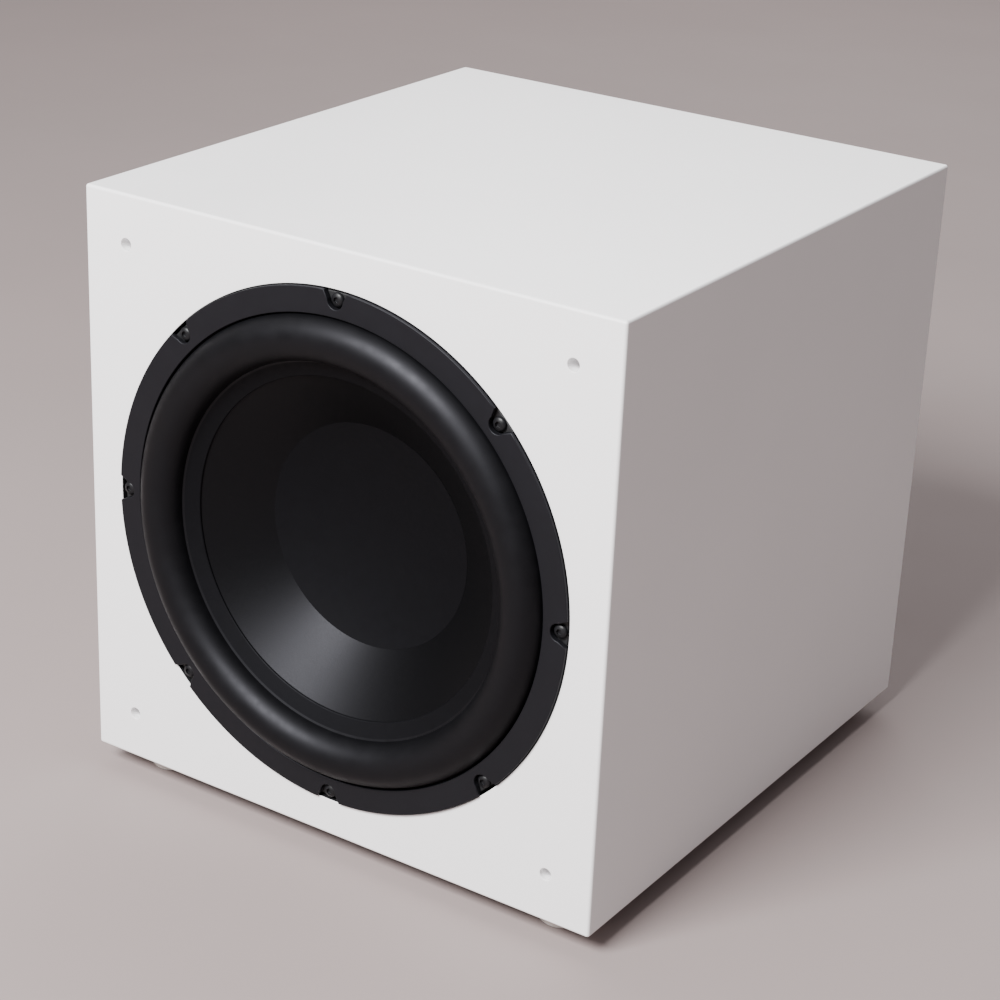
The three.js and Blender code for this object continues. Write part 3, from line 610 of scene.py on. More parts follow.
def cabinet_shell():
    """One seamless lacquered box with its hollow, the driver's seat, peg holes and the rear cut-out."""
    outer = block((-HALF_WIDTH, FACE_Y, baffle_low.z), (HALF_WIDTH, REAR_Y, baffle_high.z), EDGE, 5)
    hollow_low = (-HALF_WIDTH + WALL, baffle_high.y, baffle_low.z + WALL)
    hollow = block(hollow_low, (HALF_WIDTH - WALL, REAR_Y - WALL, baffle_high.z - WALL), 0.5 * MM)
    soft = 0.5 * MM
    mouth = REBATE_RADIUS + soft
    through = baffle_high.y - FACE_Y + CUT_PAST
    profile = [(0, -CUT_PAST), (mouth + CUT_PAST, -CUT_PAST), (mouth, 0)]
    profile += [(REBATE_RADIUS + 0.3 * soft, 0.3 * soft), (REBATE_RADIUS, soft)]
    profile += [(REBATE_RADIUS, REBATE_DEPTH), (CUTOUT_RADIUS, REBATE_DEPTH)]
    profile += [(CUTOUT_RADIUS, through), (0, through)]
    seat = turned(profile, segments=288)
    lap = 12 * MM  # how far the amplifier's plate overlaps the panel
    opening = rectangle(PLATE_HALF.x - lap, PLATE_HALF.z - lap, 5 * MM, (0, AXIS_Z))
    cutout = slab([opening], REAR_Y - WALL - CUT_PAST, REAR_Y + CUT_PAST)
    pegs = [peg_cutter(x, z) for x in (-PEG_SPREAD, PEG_SPREAD) for z in (-PEG_SPREAD, PEG_SPREAD)]
    shell = carved(outer, hollow, seat, cutout, joined(*pegs), joined(*pilot_cutters()))
    panels = ["front_baffle", "rear_panel", "top_panel", "bottom_panel"]
    panels += ["left_side_panel", "right_side_panel"]
    made = piece("cabinet_shell", shell, LACQUER, stands_for=panels)
    made.data.materials.append(MDF)
    made.data.materials.append(SEAT_SHADE)
    for face in made.data.polygons:
        face.material_index = shell_finish(face.center)


def shell_finish(point):
    """Lacquer (0) outside, bare board (1) in the hollow, black painted shade (2) in the driver's seat, for
    the shade in the gap round the ring.
    """
    depth = point.y - FACE_Y
    radius = math.hypot(point.x, point.z - AXIS_Z)
    # The driver's seat gets the black painted shade.
    if 0.4 * MM < depth < REBATE_DEPTH + 0.1 * MM and radius < REBATE_RADIUS + 0.3 * MM:
        return 2
    if depth < PEG_DEPTH and abs(abs(point.x) - PEG_SPREAD) < PEG_RADIUS and radius > REBATE_RADIUS:
        return 0
    to_side = min(HALF_WIDTH - abs(point.x), HALF_HEIGHT - abs(point.z - AXIS_Z))
    return 1 if min(to_side, depth, REAR_Y - point.y) > 3 * MM else 0


def peg_cutter(x, z):
    """A blind hole with a softened mouth and a drill point."""
    wide, middle = PEG_RADIUS + 0.7 * MM, PEG_RADIUS + 0.2 * MM
    profile = [(0, -CUT_PAST), (wide, -CUT_PAST), (wide, 0), (middle, 0.25 * MM), (PEG_RADIUS, 0.8 * MM)]
    profile += [(PEG_RADIUS, PEG_DEPTH - 2 * MM), (0, PEG_DEPTH)]
    return turned(profile, segments=48, middle=(x, AXIS_Z + z))


def pilot_cutters():
    """The holes in the baffle that the driver's screws bite into."""
    radius = 2.1 * MM
    depth = baffle_high.y - FACE_Y - 1 * MM
    profile = [(0, 0), (radius, 0), (radius, depth), (0, depth)]
    return [turned(profile, segments=20, middle=(x, AXIS_Z + z)) for x, z in screw_places()]


def screw_places():
    """The driver's screws on their circle, from the top and clockwise as seen from the front."""
    angles = [2 * math.pi * index / 8 for index in range(8)]
    return [(SCREW_CIRCLE * math.sin(angle), SCREW_CIRCLE * math.cos(angle)) for angle in angles]


def window_brace():
    low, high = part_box("window_brace")
    window = rectangle(115 * MM, 115 * MM, 30 * MM, (0, AXIS_Z), steps=16)
    outside = rectangle(high.x, (high.z - low.z) / 2, 0.4 * MM, (0, AXIS_Z), steps=2)
    mesh = slab([outside, window], low.y, high.y, bevel=1.2 * MM)
    piece("brace", mesh, MDF, stands_for=["window_brace"])


def wadding(node):
    """A batt of loose fibre: rounded, uneven, and thinner where it was pressed at its edges."""
    low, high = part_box(node)
    work = bmesh.new()
    bmesh.ops.create_cube(work, size=1)
    bmesh.ops.subdivide_edges(work, edges=work.edges[:], cuts=38, use_grid_fill=True)
    half = (high - low) / 2
    middle = (low + high) / 2
    lumps = random.Random(7 if middle.x > 0 else 3)
    shift = Vector([lumps.uniform(0, 9) for _ in range(3)])
    for vertex in work.verts:
        u = vertex.co * 2
        across = 1 - 0.42 * max(abs(u.y), abs(u.z)) ** 6
        point = Vector((u.x * across * half.x, u.y * half.y, u.z * half.z))
        lump = noise.noise(point * 45 + shift) * 1.6 * MM + noise.noise(point * 160 + shift) * 0.7 * MM
        pull = 0.94 - 0.02 * abs(noise.noise(point * 30 - shift))
        vertex.co = middle + Vector((point.x * 0.86 + lump * u.x, point.y * pull, point.z * pull))
    made = piece(f"{node}_batt", saved(work), BATTING, stands_for=[node], sharp=80)


def foot(node):
    """A round tapered foot with a softened rim, a moulding ring and a well for its screw."""
    low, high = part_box(node)
    top = high.z - low.z
    rim = radius_of(node)
    ring = top - 1.2 * MM
    profile = [(2.3 * MM, top), *mm([(2.3, 8), (6, 8), (6, 0), (14.7, 0)])]
    profile += [(rim - 0.4 * MM, top * 0.55), (rim, ring), (rim - 1.2 * MM, ring), (rim - 1.2 * MM, top)]
    mesh = turned(rounded(profile, 0.8 * MM), segments=96, middle=(0, 0), start=0)
    upright(mesh, centre_of(node))
    piece(f"{node}_moulding", mesh, FOOT_PLASTIC, stands_for=[node])


def upright(mesh, middle):
    """Stands a mesh turned about Y on the floor at middle, with what was +Y pointing up."""
    return moved(mesh, (middle.x, middle.y, 0), rotation(90, "X"))


def pin(radius, half):
    """A plain pin along X about the origin."""
    mesh = turned([(0, -half), (radius, -half), (radius, half), (0, half)], 24, (0, 0), 0)
    return moved(mesh, turn=rotation(90, "Z"))


def screw_mesh(head_radius, head_height, shank, length, recess="hex"):
    """A button-head screw along +Y with its head's underside at y = 0."""
    profile = [(0, -head_height)]
    for angle in range(15, 91, 15):
        tilt = math.radians(angle)
        profile.append((head_radius * math.sin(tilt), -head_height * (0.25 + 0.75 * math.cos(tilt))))
    profile += [(head_radius, 0), (shank, 0), (shank, 1.2 * MM)]
    pitch = 1.3 * MM
    root = shank - 0.28 * MM
    for turn in range(int((length - 3 * MM) / pitch)):
        start = 1.5 * MM + turn * pitch
        profile += [(root, start), (shank, start + 0.45 * pitch), (root, start + 0.9 * pitch)]
    profile += [(root, length - 2 * shank), (0, length)]
    body = turned(profile, segments=32, middle=(0, 0), start=0)
    far, near = -head_height - CUT_PAST, -0.38 * head_height
    if recess == "hex":
        return carved(body, slab([circle(head_radius * 0.48, steps=6)], far, near))
    arm, wide = head_radius * 0.55, head_radius * 0.13
    bars = [slab([rectangle(*half)], far, near, bevel=0.05 * MM) for half in ((arm, wide), (wide, arm))]
    return carved(body, *bars)


def build_cabinet():
    cabinet_shell()
    window_brace()
    for side in ("left", "right"):
        wadding(f"wadding_{side}")
    for end in ("front", "rear"):
        for side in ("left", "right"):
            foot(f"foot_{end}_{side}")
            node = f"foot_screw_{end}_{side}"
            head = 2.4 * MM
            mesh = screw_mesh(radius_of(node), head, 2 * MM, 20 * MM, "cross")
            moved(mesh, (*centre_of(node).xy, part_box(node)[0].z + head), rotation(90, "X"))
            piece(f"{node}_detail", mesh, OXIDE, stands_for=[node])


# ---------------------------------------------------------------- driver

RING_INNER = 141 * MM
POCKET_HALF, POCKET_BOTTOM, POCKET_MIDDLE = 7.85 * MM, 5.2 * MM, 151 * MM
ROLL_MIDDLE = 126.6 * MM
ROLL_PLANE = 3 * MM
ROLL_RADIUS = ROLL_PLANE - depths_of("surround")[0]
LAND_RADIUS = 102.7 * MM
LAND_DEPTH = 7.2 * MM
CREASE_DEPTH = 2.7 * MM
CAP_RADIUS = radius_of("dust_cap")
CAP_DEPTH, CAP_BACK = depths_of("dust_cap")
CAP_DISH = CAP_BACK - CAP_DEPTH - 1 * MM
CONE_RIM = (radius_of("cone"), depths_of("cone")[0])
CONE_NECK = (33.4 * MM, depths_of("cone")[1] - 1.9 * MM)
CONE_WALL = 1.9 * MM


def notched_outline(radius):
    """A circle with a U-shaped notch at each screw, its mouth's corners softened."""
    outline = []
    half, bottom, middle = POCKET_HALF, POCKET_BOTTOM, POCKET_MIDDLE
    mouth = math.asin(half / radius)
    step = 2 * math.pi / 8
    for index in range(8):
        turn = index * step
        notch = [(half, radius * math.cos(mouth)), (bottom + 0.4 * MM, middle + 0.6 * MM)]
        notch += [(x, middle + z) for x, z in around((0, 0), bottom, 0, -180, 18)]
        notch += [(-bottom - 0.4 * MM, middle + 0.6 * MM), (-half, radius * math.cos(mouth))]
        edge = around((0, 0), radius, 90, 90 - math.degrees(step - 2 * mouth), 26)
        spin = Matrix.Rotation(-turn, 2)
        arc = Matrix.Rotation(-(turn + mouth), 2)
        outline += [tuple(spin @ Vector((-x, z))) for x, z in notch]
        outline += [tuple(arc @ Vector(point)) for point in edge[1:-1]]
    return [(x, z + AXIS_Z) for x, z in outline]


def trim_ring():
    front, back = depths_of("trim_ring")
    outlines = [notched_outline(radius_of("trim_ring")), circle(RING_INNER, (0, AXIS_Z), 256)]
    mesh = slab(outlines, FACE_Y + front, FACE_Y + back, bevel=0.55 * MM, steps=3)
    piece("front_ring", mesh, TRIM, stands_for=["trim_ring"], sharp=50)


def flexing(made):
    """Bakes the placement of a round piece, which spans from the cabinet at its outer radius to the cone at
    its inner one, into its mesh.
    """
    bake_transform(made)


def surround():
    """A moulded half roll with a flat outer flange and a land glued on the cone's rim."""
    wall = 1.2 * MM
    front, back = ROLL_PLANE - wall / 2, ROLL_PLANE + wall / 2
    outer, inner = ROLL_MIDDLE + ROLL_RADIUS, ROLL_MIDDLE - ROLL_RADIUS
    rim = radius_of("surround")
    hill = around((0, 0), ROLL_RADIUS, 4, 176, 40)
    hollow = around((0, 0), ROLL_RADIUS - wall, 176, 4, 40)
    outside, inside = ([(ROLL_MIDDLE + x, ROLL_PLANE - z) for x, z in arc] for arc in (hill, hollow))
    land = [
        (inner, CREASE_DEPTH),
        (inner - 1.2 * MM, CREASE_DEPTH + 0.6 * MM),
        (LAND_RADIUS + 0.4 * MM, LAND_DEPTH - 0.5 * MM),
        (LAND_RADIUS, LAND_DEPTH),
        (LAND_RADIUS, LAND_DEPTH + 0.6 * MM),
        (inner + 0.6 * MM, back),
    ]
    profile = [(rim, front), (outer + 0.5 * MM, front), *outside, *rounded(land, 0.25 * MM, closed=False)]
    profile += [*inside, (outer - 0.8 * MM, back), (rim, back)]
    mesh = turned(profile, segments=320)
    made = piece("roll_surround", mesh, RUBBER, None, ["surround"], sharp=60)
    made.data.materials.append(CAP_SKIN)
    for face in made.data.polygons:
        radius = math.hypot(face.center.x, face.center.z - AXIS_Z)
        face.material_index = 1 if radius < inner - 1.5 * MM else 0
    flexing(made)


def cone():
    face = [CONE_NECK, (CAP_RADIUS, CAP_DEPTH + 1 * MM), (LAND_RADIUS, LAND_DEPTH + 1 * MM), CONE_RIM]
    back = [(radius, depth + CONE_WALL) for radius, depth in reversed(face)]
    mesh = turned(rounded([*face, *back], 0.4 * MM), segments=320)
    piece("cone_body", mesh, CONE_SKIN, body=MOVING, stands_for=["cone"])


def dust_cap():
    """An inverted dome whose edge lies flush on the cone."""
    steps = 28
    edge = CAP_RADIUS + 1.2 * MM
    face = []
    for step in range(steps + 1):
        share = step / steps
        face.append((edge * share, CAP_DEPTH + CAP_DISH * (1 - share * share)))
    back = [(radius, depth + 1 * MM) for radius, depth in reversed(face)]
    mesh = turned([*face, *back], segments=256)
    piece("inverted_dust_cap", mesh, CAP_SKIN, body=MOVING, stands_for=["dust_cap"], sharp=60)


def driver_screws():
    head = 2.6 * MM
    mesh = screw_mesh(radius_of("driver_screw_1"), head, 1.9 * MM, 20 * MM)
    for index, (x, z) in enumerate(screw_places(), start=1):
        node = f"driver_screw_{index}"
        turn = Matrix.Rotation(index * 0.7, 3, "Y")
        one = moved(mesh.copy(), (x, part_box(node)[0].y + head, AXIS_Z + z), turn)
        piece(f"{node}_detail", one, OXIDE, stands_for=[node])


SPOKE_SLOPE = math.atan2(-35.5, 49.2)  # how a spoke leans, from its radius to its depth
SPOKE_STEP = math.radians(60)


def basket():
    """A cast frame: a flange, six ribbed spokes, a ledge for the spider and a foot on the motor."""
    front, foot_back = depths_of("basket")
    flange = radius_of("basket")
    wall = 3 * MM
    ledge = depths_of("spider")[1] - 0.2 * MM
    foot_front = foot_back - wall
    seat = ROLL_PLANE + 0.9 * MM
    profile = [(flange, front), (flange, 6 * MM), *mm([(141.2, 6), (140.2, 26.5), (91, 62)])]
    profile += [(86.5 * MM, ledge + wall), (72 * MM, ledge + wall), (69 * MM, foot_back)]
    profile += [(40 * MM, foot_back), (40 * MM, foot_front), (66 * MM, foot_front), (70 * MM, ledge)]
    profile += [(84.4 * MM, ledge), *mm([(88, 60), (137, 24.5)]), (138 * MM, seat)]
    profile += [(148.4 * MM, seat), (148.4 * MM, front)]
    body = turned(rounded(profile, 0.9 * MM), segments=216)
    windows = [slab([spoke_window(index)], FACE_Y + 12 * MM, FACE_Y + 66 * MM) for index in range(6)]
    ribs = [spoke_rib(index) for index in range(1, 6)]
    clearance = mm([(0, 0), (2.5, 0), (2.5, 8), (0, 8)])
    holes = [turned(clearance, 20, (x, AXIS_Z + z)) for x, z in screw_places()]
    mesh = carved(united(carved(body, joined(*windows)), joined(*ribs)), joined(*holes))
    piece("cast_basket", mesh, COAT, stands_for=["basket"])


def spoke_window(index):
    """The opening between two spokes, with rounded corners."""
    half = 20.5
    middle = math.degrees((index + 0.5) * SPOKE_STEP)
    outer = around((0, 0), 132 * MM, middle - half, middle + half, 14)
    inner = around((0, 0), 97.5 * MM, middle + half, middle - half, 14)
    return [(x, z + AXIS_Z) for x, z in rounded([*outer, *inner], 5 * MM)]


def spoke_rib(index):
    """A stiffening fin down the outside of one spoke."""
    outline = rounded(mm([(137, 27), (141, 30), (97, 64), (92, 60)]), 1.2 * MM)
    fin = slab([outline], -1.6 * MM, 1.6 * MM, bevel=0.5 * MM, plane="xy")
    return moved(fin, (0, FACE_Y, AXIS_Z), Matrix.Rotation(index * SPOKE_STEP, 3, "Y"))


def driver_gasket():
    low, high = depths_of("driver_gasket")
    outlines = [circle(radius_of("driver_gasket"), (0, AXIS_Z), 160), circle(143 * MM, (0, AXIS_Z), 160)]
    outlines += [circle(2.5 * MM, (x, AXIS_Z + z), 16) for x, z in screw_places()]
    mesh = slab(outlines, FACE_Y + low, FACE_Y + high, bevel=0.25 * MM)
    piece("seat_gasket", mesh, FOAM, stands_for=["driver_gasket"])


def spider():
    """A corrugated cloth disc with a flat foot on the basket's ledge and a collar on the former."""
    inner, outer = 33.3 * MM, radius_of("spider")
    depth = sum(depths_of("spider")) / 2
    first, last, waves = 39 * MM, 74 * MM, 5
    steps = 14 * waves
    centre = [(inner, depth), (inner + 4 * MM, depth)]
    for step in range(steps + 1):
        share = step / steps
        height = 2.1 * MM * math.sin(2 * math.pi * waves * share) * min(1, 5 * share, 5 * (1 - share))
        centre.append((first + (last - first) * share, depth + height))
    centre.append((outer, depth))
    half = 0.35 * MM
    front = [(radius, y - half) for radius, y in centre]
    back = [(radius, y + half) for radius, y in reversed(centre)]
    mesh = turned([*front, *back], segments=160)
    made = piece("corrugated_spider", mesh, CLOTH, None, ["spider"], sharp=60)
    flexing(made)


def ring_profile(node, inner, bevel):
    """The rounded section of a plain ring as wide and as thick as a node, with this bore."""
    front, back = depths_of(node)
    outer = radius_of(node)
    return rounded([(inner, front), (outer, front), (outer, back), (inner, back)], bevel)


def voice_coil():
    """The former, and its coil with a ridge for each turn of wire."""
    bore = radius_of("voice_coil_former") - 0.5 * MM
    tube = turned(ring_profile("voice_coil_former", bore, 0.1 * MM), 144)
    piece("former", tube, POLYIMIDE, body=MOVING, stands_for=["voice_coil_former"])
    front, back = depths_of("voice_coil")
    outer = radius_of("voice_coil")
    turns = 40
    pitch = (back - front) / turns
    profile = [(33.2 * MM, front)]
    for turn in range(turns):
        middle = front + (turn + 0.5) * pitch
        for angle in (-1.3, -0.65, 0, 0.65, 1.3):
            drop = pitch * (0.42 - 0.42 * math.cos(angle))
            profile.append((outer - drop, middle + pitch * 0.45 * math.sin(angle)))
    profile.append((33.2 * MM, back))
    coil = turned(profile, 128)
    piece("coil_winding", coil, COPPER, body=MOVING, stands_for=["voice_coil"], sharp=70)


def motor():
    """The top plate, the magnet and the yoke, whose pole has a flared vent."""
    plate = turned(ring_profile("top_plate", 35.3 * MM, 1 * MM))
    piece("motor_top_plate", plate, STEEL, stands_for=["top_plate"])
    ring = turned(ring_profile("magnet", 45 * MM, 1.8 * MM))
    piece("ferrite_ring", ring, FERRITE, stands_for=["magnet"])
    front, back = depths_of("pole_yoke")
    outer = radius_of("pole_yoke")
    vent, pole, seat = 11 * MM, 31.7 * MM, depths_of("magnet")[1] + FIT
    profile = [(vent + 4 * MM, front), (pole, front), (pole, seat), (outer, seat), (outer, back - 4 * MM)]
    profile += [(outer - 5 * MM, back - 1.5 * MM), (outer - 16 * MM, back - 1.5 * MM)]
    profile += [(outer - 19 * MM, back), (vent + 7 * MM, back), (vent, back - 7 * MM)]
    profile.append((vent, front + 4 * MM))
    yoke = turned(rounded(profile, 1.6 * MM, 5))
    piece("vented_yoke", yoke, STEEL, stands_for=["pole_yoke"])


def on_spoke(mesh):
    """Places a mesh drawn flat about the origin on the slope of the spoke at +X."""
    middle = Vector((117 * MM, FACE_Y + 46.4 * MM, AXIS_Z))
    return moved(mesh, middle, Matrix.Rotation(SPOKE_SLOPE, 3, "Z"))


def terminal_strip():
    """A strip riveted to a spoke, with a solder lug for each lead."""
    near, far = -1.4 * MM, 1.6 * MM
    base = brick((0, 0), 11 * MM, 11 * MM, near, far, 0.5 * MM)
    tab = brick((8.25 * MM, 0), 5.25 * MM, 10.5 * MM, near, far, 0.5 * MM)
    piece("strip_body", on_spoke(united(base, tab)), PLASTIC, stands_for=["terminal_strip"])
    lugs = []
    rivet = mm([(0, 4), (1.7, 3.6), (1.7, 2.42), (0, 2.42)])
    for z in (-6 * MM, 6 * MM):
        lugs.append(brick((9 * MM, z), 4 * MM, 3 * MM, 1.65 * MM, 2.4 * MM, 0.2 * MM))
        lugs.append(solid(rivet, 0.5 * MM, 24, (7.5 * MM, z), 0))
    piece("strip_lugs", on_spoke(joined(*lugs)), NICKEL)


def tinsel_leads():
    """Two braided leads from the spoke to the cone, each crimped at one end and glued at the other."""

    def braid(angle, distance):
        return 0.9 * MM + 0.1 * MM * math.sin(3 * angle + distance / (0.5 * MM))

    route = mm([(98, 48.8), (91, 52), (81, 53.4), (71, 49), (62.5, 42.2)])
    drop = mm([(0, -2.6), (2.6, -2.6), (2.2, 0.6), (0, 1.6)])
    for name, side in (("tinsel_lead_positive", 1), ("tinsel_lead_negative", -1)):
        z = AXIS_Z + side * 6 * MM
        line = spline_through([(x, FACE_Y + depth, z) for x, depth in route], 16)
        mesh = swept(line, 1 * MM, 14, braid)
        made = piece(f"{name}_braid", mesh, BRAID, None, [name], sharp=60)
        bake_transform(made)
        anchor = swept([line[0] + Vector((0.6, 8 - step, 0)) * MM for step in range(10)], 1.7 * MM, 20)
        piece(f"{name}_anchor", anchor, NICKEL)
        glue = solid(drop, 0.8 * MM, 28, (line[-1].x, z), line[-1].y)
        piece(f"{name}_glue", glue, CAP_SKIN, body=MOVING)


LEAD_ROUTE = [  # x, depth, half the gap between the leads and their rise, in millimetres
    (129.5, 44.2, 6, 0),
    (137, 60, 6, 0),
    (133, 100, 6, 0),
    (117, 150, 5, 0),
    (106, 185, 5, 0),
    (106, 205, 5, 0),
    (106, 225, 5, 0),
    (98, 265, 5, 4),
    (80, 298, 5, 14),
    (74, 320, 5, 20),
]


def internal_leads():
    """The two leads from the amplifier's board to the driver, clipped to the brace's window."""
    stations = [*LEAD_ROUTE, (74, depths_of("circuit_board")[0] / MM - 1, 5, 20)]
    for name, side, finish, slot in (
        ("lead_positive", 1, RED_SLEEVE, "lead_red"),
        ("lead_negative", -1, BLACK_SLEEVE, "lead_black"),
    ):
        route = []
        for x, depth, gap, rise in stations:
            route.append(Vector((x * MM, FACE_Y + depth * MM, AXIS_Z + (side * gap + rise) * MM)))
        mesh = swept(spline_through(route, 10), 1.5 * MM, 16)
        piece(f"{name}_sleeve", mesh, finish, stands_for=[name])
        ahead = Vector((0, 1.2 * MM, 0))
        crimp = [route[0].lerp(route[1], share) - ahead for share in (-0.05, 0.1, 0.2, 0.42)]
        piece(f"{name}_crimp", swept(crimp, 2.1 * MM, 18), NICKEL)
    low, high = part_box("lead_clip")
    half = (high - low) / 2
    outlines = [rectangle(half.x, half.z, 2 * MM, flat("lead_clip"))]
    outlines += [circle(2 * MM, (106 * MM, AXIS_Z + side * 5 * MM), 24) for side in (-1, 1)]
    piece("clip_block", slab(outlines, low.y, high.y), PLASTIC, stands_for=["lead_clip"])


def build_driver():
    for build in (trim_ring, surround, cone, dust_cap, driver_screws, basket, driver_gasket):
        build()
    for build in (spider, voice_coil, motor, terminal_strip, tinsel_leads, internal_leads):
        build()


# ---------------------------------------------------------------- plate amplifier

KNOBS = ("volume_knob", "crossover_knob")
LEVERS = ("phase_switch", "power_mode_switch")
JACKS = ("rca_jack_left", "rca_jack_right")
LEVER_TRAVEL = 4.4 * MM
LAMP = (-82 * MM, centre_of("volume_knob").z)
PRINT = 0.06 * MM  # how far printed marks stand up
PLATE_SCREWS = [(x, z) for x in (-109, 109) for z in (-129, -43, 43, 129)] + [(0, 129), (0, -129)]


def slot_middle(node):
    """The middle of a slide switch's slot, whose lever rests at the low-x end."""
    x, z = flat(node)
    return x + LEVER_TRAVEL / 2, z


def amp_plate():
    """The plate with an opening for each control, its lamp and the gasket behind it."""
    outlines = [rectangle(PLATE_HALF.x, PLATE_HALF.z, 6 * MM, (0, AXIS_Z), steps=8)]
    outlines += [circle(3.7 * MM, flat(node), 32) for node in KNOBS]
    outlines += [circle(4.6 * MM, flat(node), 32) for node in JACKS]
    outlines += [rectangle(4.6 * MM, 1.8 * MM, 0.6 * MM, slot_middle(node)) for node in LEVERS]
    outlines.append(rectangle(14 * MM, 16.8 * MM, 1 * MM, flat("mains_inlet")))
    outlines.append(rectangle(7.3 * MM, 10.3 * MM, 0.6 * MM, flat("rocker_housing")))
    outlines.append(circle(1.7 * MM, LAMP, 20))
    outlines += [circle(2 * MM, (x * MM, AXIS_Z + z * MM), 16) for x, z in PLATE_SCREWS]
    mesh = slab(outlines, PLATE_BACK_Y, PLATE_Y, bevel=0.4 * MM)
    piece("rear_plate", mesh, ANODISED, stands_for=["amp_plate"])
    lens = mm([(0, 1.9), (0.9, 1.7), (1.45, 1.1), (1.5, 0), (1.5, -6), (0, -6)])
    lamp = turned(lens, 32, LAMP, PLATE_Y)
    piece("power_lamp", lamp, LENS)
    low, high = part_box("amp_gasket")
    frame_width = 11 * MM
    outside = rectangle(high.x, PLATE_HALF.z, 4 * MM, (0, AXIS_Z))
    inside = rectangle(high.x - frame_width, PLATE_HALF.z - frame_width, 3 * MM, (0, AXIS_Z))
    gasket = slab([outside, inside], low.y, high.y, bevel=0.3 * MM)
    piece("plate_gasket", gasket, FOAM, stands_for=["amp_gasket"])


def plate_screws():
    """Ten cross-head screws round the plate's edge, each turned differently."""
    mesh = moved(screw_mesh(3.5 * MM, 2 * MM, 1.7 * MM, 17 * MM, "cross"), turn=rotation(180, "Z"))
    for index, (x, z) in enumerate(PLATE_SCREWS, start=1):
        turn = Matrix.Rotation(index * 0.9, 3, "Y")
        one = moved(mesh.copy(), (x * MM, PLATE_Y + 0.05 * MM, AXIS_Z + z * MM), turn)
        piece(f"plate_screw_{index}", one, OXIDE)


def heat_sink():
    """An extrusion of upright fins with rounded tips, held by four screws between them."""
    low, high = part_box("heat_sink")
    fins, thick = 12, 2.6 * MM
    floor = low.y + 3.5 * MM
    pitch = (high.x - low.x - thick) / (fins - 1)
    outline = [(low.x, low.y), (high.x, low.y)]
    for index in reversed(range(fins)):
        left = low.x + index * pitch
        if index < fins - 1:
            outline.append((left + thick, floor))
        outline += [(left + thick * 0.88, high.y), (left + thick * 0.12, high.y)]
        if index > 0:
            outline.append((left, floor))
    mesh = slab([rounded(outline, 0.9 * MM)], low.z, high.z, bevel=0.25 * MM, plane="xy")
    piece("finned_heat_sink", mesh, ANODISED, stands_for=["heat_sink"])
    screw = moved(screw_mesh(2.7 * MM, 1.8 * MM, 1.4 * MM, 9 * MM), turn=rotation(180, "Z"))
    channels = [low.x + (index + 0.5) * pitch + thick / 2 for index in (1, fins - 3)]
    places = [(x, z) for x in channels for z in (low.z + 14 * MM, high.z - 14 * MM)]
    for index, (x, z) in enumerate(places, start=1):
        one = moved(screw.copy(), (x, floor + 0.05 * MM, z))
        piece(f"heat_sink_screw_{index}", one, OXIDE)


def knobs():
    """Fluted knobs on round shafts, each with a printed pointer, a scale and its potentiometer."""
    can = mm([(3.6, 1.8), (8, 1.8), (8, -12.4), (0, -12.4), (0, -11), (3.6, -11)])
    for node, body in zip(KNOBS, ("volume_control", "crossover_control")):
        low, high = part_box(node)
        place = flat(node)
        radius = radius_of(node)
        skirt = PLATE_Y + 0.8 * MM
        top = high.y - skirt
        face = high.y - 0.5 * MM
        profile = [(0, low.y - skirt), (3 * MM, low.y - skirt), (3 * MM, 0), (radius, 0)]
        profile += [(radius, 1.6 * MM), (radius - 0.8 * MM, 2.2 * MM)]
        profile += [(radius - 1.1 * MM, top - 1.2 * MM), (radius - 2.2 * MM, top)]
        profile += [(radius - 3.2 * MM, top - 0.5 * MM), (0, top - 0.5 * MM)]

        def flutes(angle, r, along):
            if r < radius - 2 * MM or along < 2 * MM:
                return r
            return r - 0.45 * MM * max(0.0, math.cos(22 * angle)) ** 2

        mesh = turned(rounded(profile, 0.4 * MM, closed=False), 264, place, skirt, flutes)
        piece(f"{node}_fluted", mesh, PLASTIC, body=body, stands_for=[node], sharp=55)
        above = (place[0], place[1] + 3.55 * MM)
        pointer = brick(above, 0.55 * MM, 2.05 * MM, face, face + 0.25 * MM, 0.1 * MM)
        piece(f"{node}_pointer", pointer, INK, body=body)
        scale = [tick(place, math.radians(30 * step - 150), radius + 2.2 * MM) for step in range(11)]
        piece(f"{node}_scale", joined(*scale), INK)
        pot = solid(can, 0.5 * MM, 64, place, PLATE_BACK_Y - 2 * MM)
        piece(f"{node}_potentiometer", pot, STEEL)


def tick(middle, angle, radius):
    """A short printed line that points at the middle from an angle clockwise of straight up."""
    line = brick((0, 1 * MM), 0.3 * MM, 1 * MM, 0, PRINT, 0.02 * MM)
    spin = Matrix.Rotation(-angle, 3, "Y")
    return moved(line, Vector((middle[0], PLATE_Y, middle[1])) + spin @ Vector((0, 0, radius)), spin)


